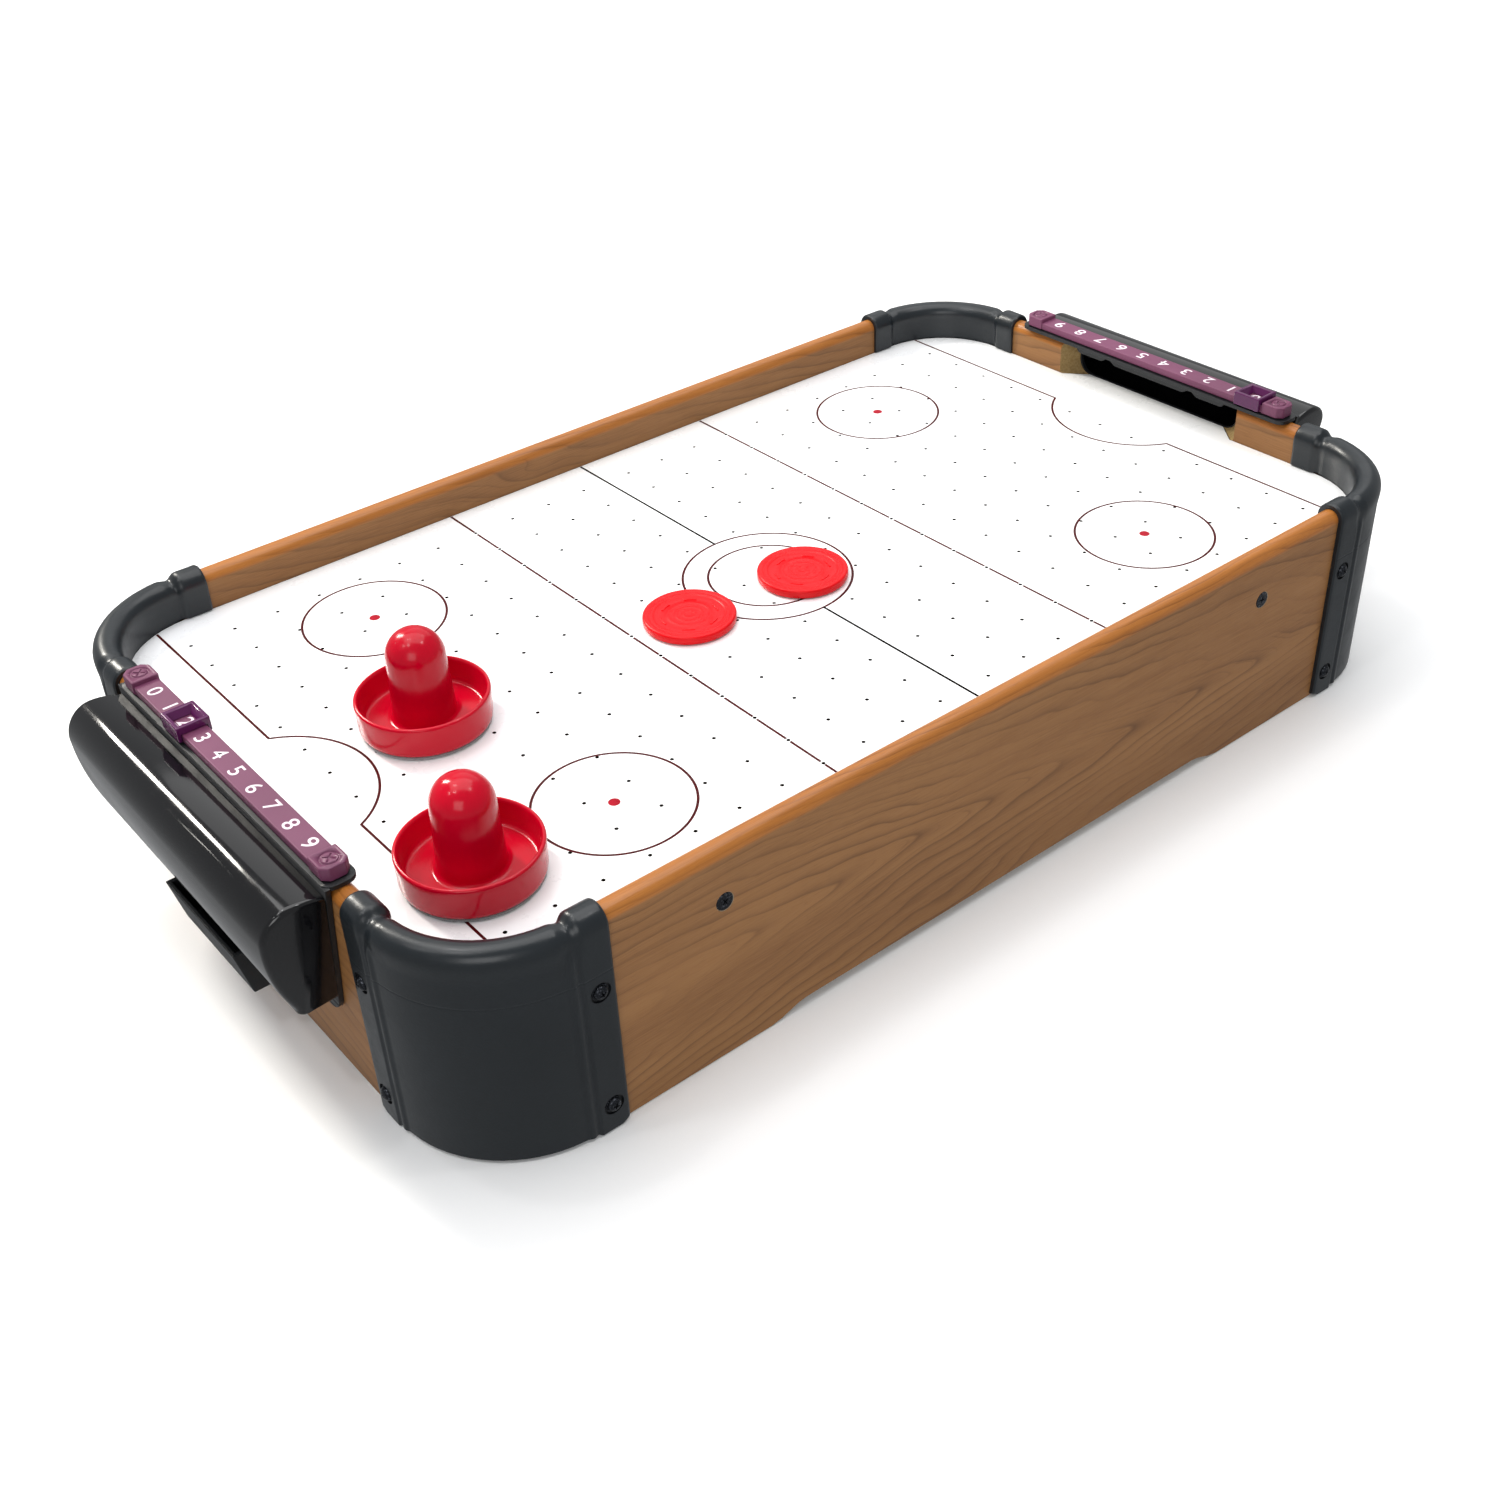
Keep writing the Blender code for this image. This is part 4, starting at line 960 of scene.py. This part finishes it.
def goal_cover():
    """The glossy cover: a drafted shell with rounded end rims, open to the wall and below."""
    rim = 2.2 * MM
    ends = [(GOAL_HALF - rim + rim * math.sin(math.pi / 2 * k / 5), rim * (1 - math.cos(math.pi / 2 * k / 5)))
            for k in range(6)]
    stations = [(-y, inset) for y, inset in reversed(ends)] + [(0.0, 0.0)] + ends
    rings = [[(x, drafted(y, z, GOAL_HALF), z) for x, z in cover_profile(inset)] for y, inset in stations]
    item = loft("goal_cover_shell_far", rings, BLACK_GLOSS, smooth=40)
    hollow = cover_profile(COVER_T)
    back = (PLATE_FACE - 5 * MM, hollow[0][1])
    hollow = [back] + hollow[:-7] + [(OUT_X + 12 * MM, 30 * MM), (back[0], 30 * MM)]
    reach = GOAL_HALF - COVER_T
    rings = [[(x, drafted(y, z, reach), z) for x, z in hollow] for y in (-reach, reach)]
    return shaded(cut(item, loft("hollow", rings, BLACK_GLOSS)), 40)


def goal_bracket():
    """The moulding on the end board: back plate, top flange with a rounded tip, wavy lip and two ramps."""
    half = GOAL_HALF + 1 * MM
    foot = half - DRAFT * (FLANGE_Z - BRACKET_LOW)
    plate = [(half, FLANGE_Z - 0.4 * MM), (-half, FLANGE_Z - 0.4 * MM)]
    plate += arc((BRACKET_R - foot, BRACKET_LOW + BRACKET_R), BRACKET_R, 190, 270, 8)
    plate += arc((foot - BRACKET_R, BRACKET_LOW + BRACKET_R), BRACKET_R, 270, 350, 8)
    gate, high, corner = MOUTH_OUT - 0.5 * MM, 90 * MM, 8 * MM
    sill = FIELD_TOP - 0.3 * MM + corner
    mouth = [(gate, high), (-gate, high)] + arc((corner - gate, sill), corner, 180, 270, 8)
    mouth += arc((gate - corner, sill), corner, 270, 360, 8)
    item = outline("goal_bracket_moulding_far", [plate, mouth], PLATE_FACE - PLATE_BACK,
                   shift((PLATE_BACK + PLATE_FACE) / 2, 0, 0) @ ON_YZ, BLACK_SATIN)
    pieces = [bevelled(item, 0.35 * MM)]

    tip, root = IN_X - 2 * MM, PLATE_FACE - 0.1 * MM
    flange = outline("flange", [rounded_rectangle((root - tip) / 2, half, 4.5 * MM)], FLANGE_T,
                     shift((tip + root) / 2, 0, FLANGE_Z - FLANGE_T / 2), BLACK_SATIN)
    pieces.append(bevelled(flange, 0.45 * MM, 3))

    wave = [(LIP_HALF, FLANGE_Z - 1 * MM), (-LIP_HALF, FLANGE_Z - 1 * MM)]
    wave += arc((LIP_R - LIP_HALF, LIP_LOW + LIP_R), LIP_R, 180, 270, 5)
    reach, deep = LIP_NOTCH
    for centre in (-LIP_NOTCH_Y, LIP_NOTCH_Y):
        for k in range(13):
            t = k / 12
            wave.append((centre + (2 * t - 1) * reach, LIP_LOW + deep * math.sin(math.pi * t) ** 2))
    wave += arc((LIP_HALF - LIP_R, LIP_LOW + LIP_R), LIP_R, 270, 360, 5)
    lip = outline("lip", [wave], LIP_T, shift(IN_X + 2.4 * MM, 0, 0) @ ON_YZ, BLACK_SATIN)
    pieces.append(bevelled(lip, 0.5 * MM))

    for side in (-1, 1):
        rib = [(side * y * MM, z * MM) for y, z in ((70, 62), (31, 47.5), (31, 45.5), (70, 60))]
        ramp = outline("ramp", [rib], RAMP_T, shift(OUT_X + 1 * MM + RAMP_T / 2, 0, 0) @ ON_YZ, BLACK_SATIN)
        pieces.append(bevelled(ramp, 0.3 * MM))
    return joined(pieces)


def score_bar():
    """The bar of digits: a slim bar with a raised block at each end, ring and cross sunk in its top."""
    low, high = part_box("score_scale_far")
    middle, reach = (low.x + high.x) / 2, high.y
    half, wide, chamfer = 5 * MM, 5.5 * MM, 2.4 * MM
    item = bevelled(block("score_bar_far", (middle - half, middle + half), (-reach + 2 * MM, reach - 2 * MM),
                          (low.z, low.z + SCALE_T), PURPLE), 0.5 * MM, 3)
    parts = [item]
    for side in (-1, 1):
        inner, neck, outer = [side * y for y in (reach - 11 * MM, reach - chamfer, reach)]
        shape = [(middle - wide, inner), (middle + wide, inner), (middle + wide, neck),
                 (middle + wide - chamfer, outer), (middle - wide + chamfer, outer), (middle - wide, neck)]
        height = high.z - low.z
        end = outline("end_block", [shape], height, shift(0, 0, low.z + height / 2), PURPLE)
        bevelled(end, 0.6 * MM, 3)
        at = (middle, side * (reach - 5.4 * MM))
        ring = [circle(at, 3.7 * MM, 40), circle(at, 3.0 * MM, 40)]
        cut(end, outline("ring", ring, 0.9 * MM, shift(0, 0, high.z), PURPLE))
        for angle in (45, 135):
            bar = block("bar", *[(-v * MM, v * MM) for v in (2.4, 0.35, 0.45)], PURPLE)
            cut(end, moved(bar, shift(*at, high.z) @ spun(angle, "Z")))
        parts.append(shaded(end, 40))
    return joined(parts)


def digits(name, end):
    """White digits 0 to 9, 0 on the left of the player at that end."""
    low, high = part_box("score_scale_far")
    middle = end * (low.x + high.x) / 2
    face = low.z + SCALE_T + 0.02 * MM
    made = []
    for number in range(10):
        text = bpy.data.curves.new("digit", "FONT")
        text.body = str(number)
        text.align_x = "CENTER"
        text.align_y = "CENTER"
        text.size = 9.2 * MM
        text.offset = 0.04 * MM
        text.extrude = 0.06 * MM
        bm = filled("digit", text, 1e-7)
        xs = [v.co.x for v in bm.verts]
        ys = [v.co.y for v in bm.verts]
        centred = shift(-(min(xs) + max(xs)) / 2, -(min(ys) + max(ys)) / 2, 0)
        place = shift(middle, end * (number - 4.5) * DIGIT_PITCH, face) @ spun(90 * end, "Z")
        wider = Matrix.Diagonal((1.12, 0.94, 1, 1))
        bmesh.ops.transform(bm, matrix=place @ wider @ centred, verts=bm.verts)
        made.append(new_object(f"{name}_{number}" if number else name, bm, WHITE_INK, 30))
    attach(joined(made), "table")


def slider(node, name):
    """The slider: a glossy window frame whose window narrows towards the digit."""
    low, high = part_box(node)
    x, y = (low.x + high.x) / 2, (low.y + high.y) / 2
    bar_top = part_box("score_scale_far")[0].z + SCALE_T
    item = bevelled(block(name, (low.x, high.x), (low.y, high.y), (low.z, high.z), DARK_PURPLE), 0.6 * MM, 3)
    inner = 5.3 * MM
    channel = block("channel", (x - inner, x + inner), (y - 20 * MM, y + 20 * MM),
                    (low.z - 2 * MM, bar_top + 0.3 * MM), DARK_PURPLE)
    rings = []
    for z, hx, hy in ((bar_top - 2 * MM, 3.4, 3.5), (bar_top + 0.3 * MM, 3.4, 3.5),
                      (high.z - 0.3 * MM, 5.0, 5.4), (high.z + 1 * MM, 6.5, 7.0)):
        rings.append([(x + sx * hx * MM, y + sy * hy * MM, z)
                      for sx, sy in ((1, 1), (-1, 1), (-1, -1), (1, -1))])
    item = shaded(cut(item, channel, loft("window", rings, DARK_PURPLE)), 40)
    return stand_in(item, node)


def both_ends(item, stem, node):
    """The far item and its mirrored copy at the near end."""
    stand_in(copied(item, f"{stem}_near", Matrix.Diagonal((-1, 1, 1, 1))), f"{node}_near")
    item.name = f"{stem}_far"
    stand_in(item, f"{node}_far")


both_ends(goal_cover(), "goal_cover_shell", "goal_cover")
both_ends(goal_bracket(), "goal_bracket_moulding", "goal_bracket")
both_ends(score_bar(), "score_bar", "score_scale")
digits("digits_near", -1)
digits("digits_far", 1)
for end in ("near", "far"):
    slider(f"score_slider_{end}", f"slider_frame_{end}")
for end in ("near", "far"):
    softened(f"puck_tray_{end}", f"tray_{end}", 0.5 * MM, BLACK_SATIN, 3)


# -------- pucks and mallets

def at_base(node):
    low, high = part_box(node)
    return Vector(((low.x + high.x) / 2, (low.y + high.y) / 2, low.z))


def puck(node, name, turn):
    """A puck: a raised rim, stepped rings, and a broken ring of plain dashes."""
    profile = [(0, 3.1), (1.9, 3.1), (2.2, 3.36), (2.7, 3.36), (3.0, 3.1), (5.0, 3.1), (5.3, 3.36),
               (5.8, 3.36), (6.1, 3.1), (8.3, 3.1), (8.6, 3.4), (9.2, 3.4), (9.5, 3.12), (14.6, 3.12),
               (15.0, 3.3), (15.5, 3.72), (16.1, 3.72), (16.5, 3.45), (17.0, 3.45), (17.5, 3.95),
               (18.6, 4.0), (19.2, 3.82), (19.6, 3.4), (19.7, 2.9), (19.7, 1.0), (19.5, 0.5),
               (18.9, 0.0), (0, 0)]
    parts = [turned(name, profile, PUCK_RED, 96, 50)]
    for start in (15, 75, 130, 195, 255, 310):
        stop = start + 26
        shape = arc((0, 0), 12.5 * MM, start, stop, 10) + arc((0, 0), 11.6 * MM, stop, start, 10)
        dash = outline("dash", [shape], 0.36 * MM, shift(0, 0, 3.2 * MM), PUCK_RED)
        parts.append(bevelled(dash, 0.12 * MM, 1))
    return stand_in(moved(joined(parts), shift(*at_base(node)) @ Matrix.Rotation(turn, 4, "Z")), node)


def mallet(node, name):
    """A mallet: a cup with a rounded, slightly flared rim, and a hollow domed knob."""
    low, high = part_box(node)
    height = (high.z - low.z) / MM
    dome = 11.5
    wall = 2
    profile = [(0, height)] + arc((0, height - dome), dome, 90, 0, 14)[1:]
    profile += [(11.9, 16), (12.3, 5.0), (12.6, 4.0), (13.4, 3.3), (14.6, 3.05), (21.6, 3.0), (22.7, 3.25),
                (23.3, 4.0), (23.7, 6.0), (24.5, 11.6), (24.7, 12.5), (25.15, 13.0), (25.8, 12.95),
                (26.25, 12.5), (26.35, 11.8), (26.2, 10.0), (25.95, 2.0), (25.7, 0.6), (25.2, 0.1),
                (24.6, 0.0), (10.6, 0.0)]
    profile += arc((0, height - dome), dome - wall, 0, 90, 8)[:-1] + [(0, height - wall)]
    return stand_in(moved(turned(name, profile, MALLET_RED, 96, 50), shift(*at_base(node))), node)


def felt(node, name, seed):
    """A felt disc with a slightly ragged edge."""
    random.seed(seed)
    low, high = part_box(node)
    radius, height = (high.x - low.x) / 2 / MM, (high.z - low.z) / MM
    profile = [(0, height), (radius * 0.7, height), (radius - 0.3, height), (radius, height * 0.8),
               (radius, height * 0.2), (radius - 0.3, 0), (radius * 0.7, 0), (0, 0)]
    item = turned(name, profile, FELT, 120, 60)
    for vert in item.data.vertices:
        if math.hypot(vert.co.x, vert.co.y) > (radius - 1) * MM:
            scale = 1 + random.uniform(-0.010, 0.003)
            vert.co.x *= scale
            vert.co.y *= scale
    return stand_in(moved(item, shift(*at_base(node))), node)


for letter, turn in (("a", 0.4), ("b", 1.3)):
    puck(f"puck_{letter}", f"puck_disc_{letter}", turn)
for letter in ("a", "b"):
    mallet(f"mallet_{letter}", f"mallet_cup_{letter}")
for letter, seed in (("a", 11), ("b", 12)):
    felt(f"mallet_felt_{letter}", f"mallet_sole_{letter}", seed)


# -------- fan and battery box

def twin_lead():
    """The fan's twin lead as two insulated wires side by side."""
    low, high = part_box("fan_lead")
    middle = middle_of("fan_lead")
    parts = []
    for side, look in ((-1, LEAD_RED), (1, BLACK_SATIN)):
        rings = []
        for k in range(25):
            t = k / 24
            x = low.x + (high.x - low.x) * t
            turn = 6 * math.pi * t * min(1.0, min(t, 1 - t) * 8)
            y = middle.y + side * 0.5 * MM * math.cos(turn)
            z = middle.z + side * 0.35 * MM * math.sin(turn)
            rings.append([(x, y + u, z + v) for u, v in circle((0, 0), 0.5 * MM, 12)])
        parts.append(loft("wire_pair" if side < 0 else "wire", rings, look, smooth=60))
    return stand_in(joined(parts), "fan_lead")


def battery_cell(node, name):
    low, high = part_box(node)
    radius, length = (high.z - low.z) / 2 / MM, (high.x - low.x) / MM
    body = length - 1.0
    profile = [(0, 0), (radius - 1.2, 0), (radius - 0.9, 0.35), (radius - 0.25, 0.4), (radius, 0.8),
               (radius, body - 1), (radius - 0.3, body - 0.3), (radius - 1.6, body), (2.9, body - 0.2),
               (2.6, body), (2.6, length - 0.2), (2.3, length), (0, length)]
    item = turned(name, profile, [SLEEVE, STEEL], 48, 40)
    for face in item.data.polygons:
        centre = face.center
        if math.hypot(centre.x, centre.y) < (radius - 0.7) * MM:
            face.material_index = 1
    middle = middle_of(node)
    return stand_in(moved(item, shift(low.x, middle.y, middle.z) @ spun(90, "Y")), node)


softened("fan_housing", "fan_shroud", 0.35 * MM, BLACK_SATIN)
softened("motor", "motor_can", 0.3 * MM, STEEL)
softened("impeller", "fan_wheel_blades", 0.25 * MM, BLACK_MATT)
softened("battery_box", "battery_case", 0.4 * MM, BLACK_SATIN)
softened("battery_door", "battery_cover", 0.3 * MM, BLACK_SATIN)
softened("power_switch", "switch_slider", 0.5 * MM, BLACK_MATT, 3)
twin_lead()
for row in ("right", "left"):
    for place in ("near", "far"):
        battery_cell(f"battery_{row}_{place}", f"cell_{row}_{place}")
relooked("motor_shaft", STEEL)


# -------- stage, light and camera

def stage():
    bm = bmesh.new()
    bmesh.ops.create_grid(bm, x_segments=1, y_segments=1, size=6.0)
    look = Look("pale_floor", Roughness=0.85, Specular_IOR_Level=0.1)
    look.set("Base Color", look.mix(look.noise(scale=1.5), srgb(243, 243, 243), srgb(246, 246, 246)))
    floor = new_object("floor", bm, look.made)
    floor.location.z = -0.1 * MM
    floor.visible_glossy = False
    world = bpy.data.worlds.new("studio")
    world.use_nodes = True
    sky = world.node_tree.nodes["Background"].inputs
    sky["Color"].default_value = (0.96, 0.98, 1.0, 1.0)
    sky["Strength"].default_value = 0.40
    bpy.context.scene.world = world


def area_light(name, place, aim, size, energy, colour=(1, 1, 1)):
    data = bpy.data.lights.new(name, "AREA")
    data.shape = "RECTANGLE"
    data.size, data.size_y = size
    data.energy = energy
    data.color = colour
    item = new_item(name, data)
    item.location = place
    item.rotation_euler = (Vector(aim) - Vector(place)).to_track_quat("-Z", "Y").to_euler()


stage()
area_light("overhead", (0.15, 0.25, 1.9), (0.0, 0.0, 0.05), (2.2, 1.6), 30)
area_light("backdrop", (1.7, 1.7, 1.6), (1.5, 1.6, 0.0), (2.6, 2.6), 18)
area_light("window", (-1.6, -1.6, 1.2), (0.0, 0.0, 0.05), (1.2, 1.2), 14)
area_light("tube", (-0.42, 1.6, 1.29), (-0.27, 0.0, 0.09), (0.22, 0.7), 32.0, (1.0, 0.96, 0.88))
area_light("thin_tube", (-1.1, 1.44, 1.12), (-0.27, -0.06, 0.09), (0.02, 0.2), 0.25, (1.0, 0.97, 0.90))
for index, place in enumerate(((-0.75, -0.15, 1.5), (-0.35, 0.35, 1.6), (-1.1, 0.2, 1.4), (0.5, -0.6, 1.6))):
    area_light(f"downlight_{index}", place, (-0.15, 0.0, 0.08), (0.07, 0.07), 1.6)

camera_data = bpy.data.cameras.new("camera")
camera_data.sensor_width = 36.0
camera_data.lens = 42.9
camera = new_item("camera", camera_data)
camera.location = (-0.42009, -0.5248, 0.46825)
camera.rotation_euler = [math.radians(angle) for angle in (54.1976, 2.2775, -39.3535)]
bpy.context.scene.camera = camera
bpy.context.scene.view_settings.view_transform = "Standard"
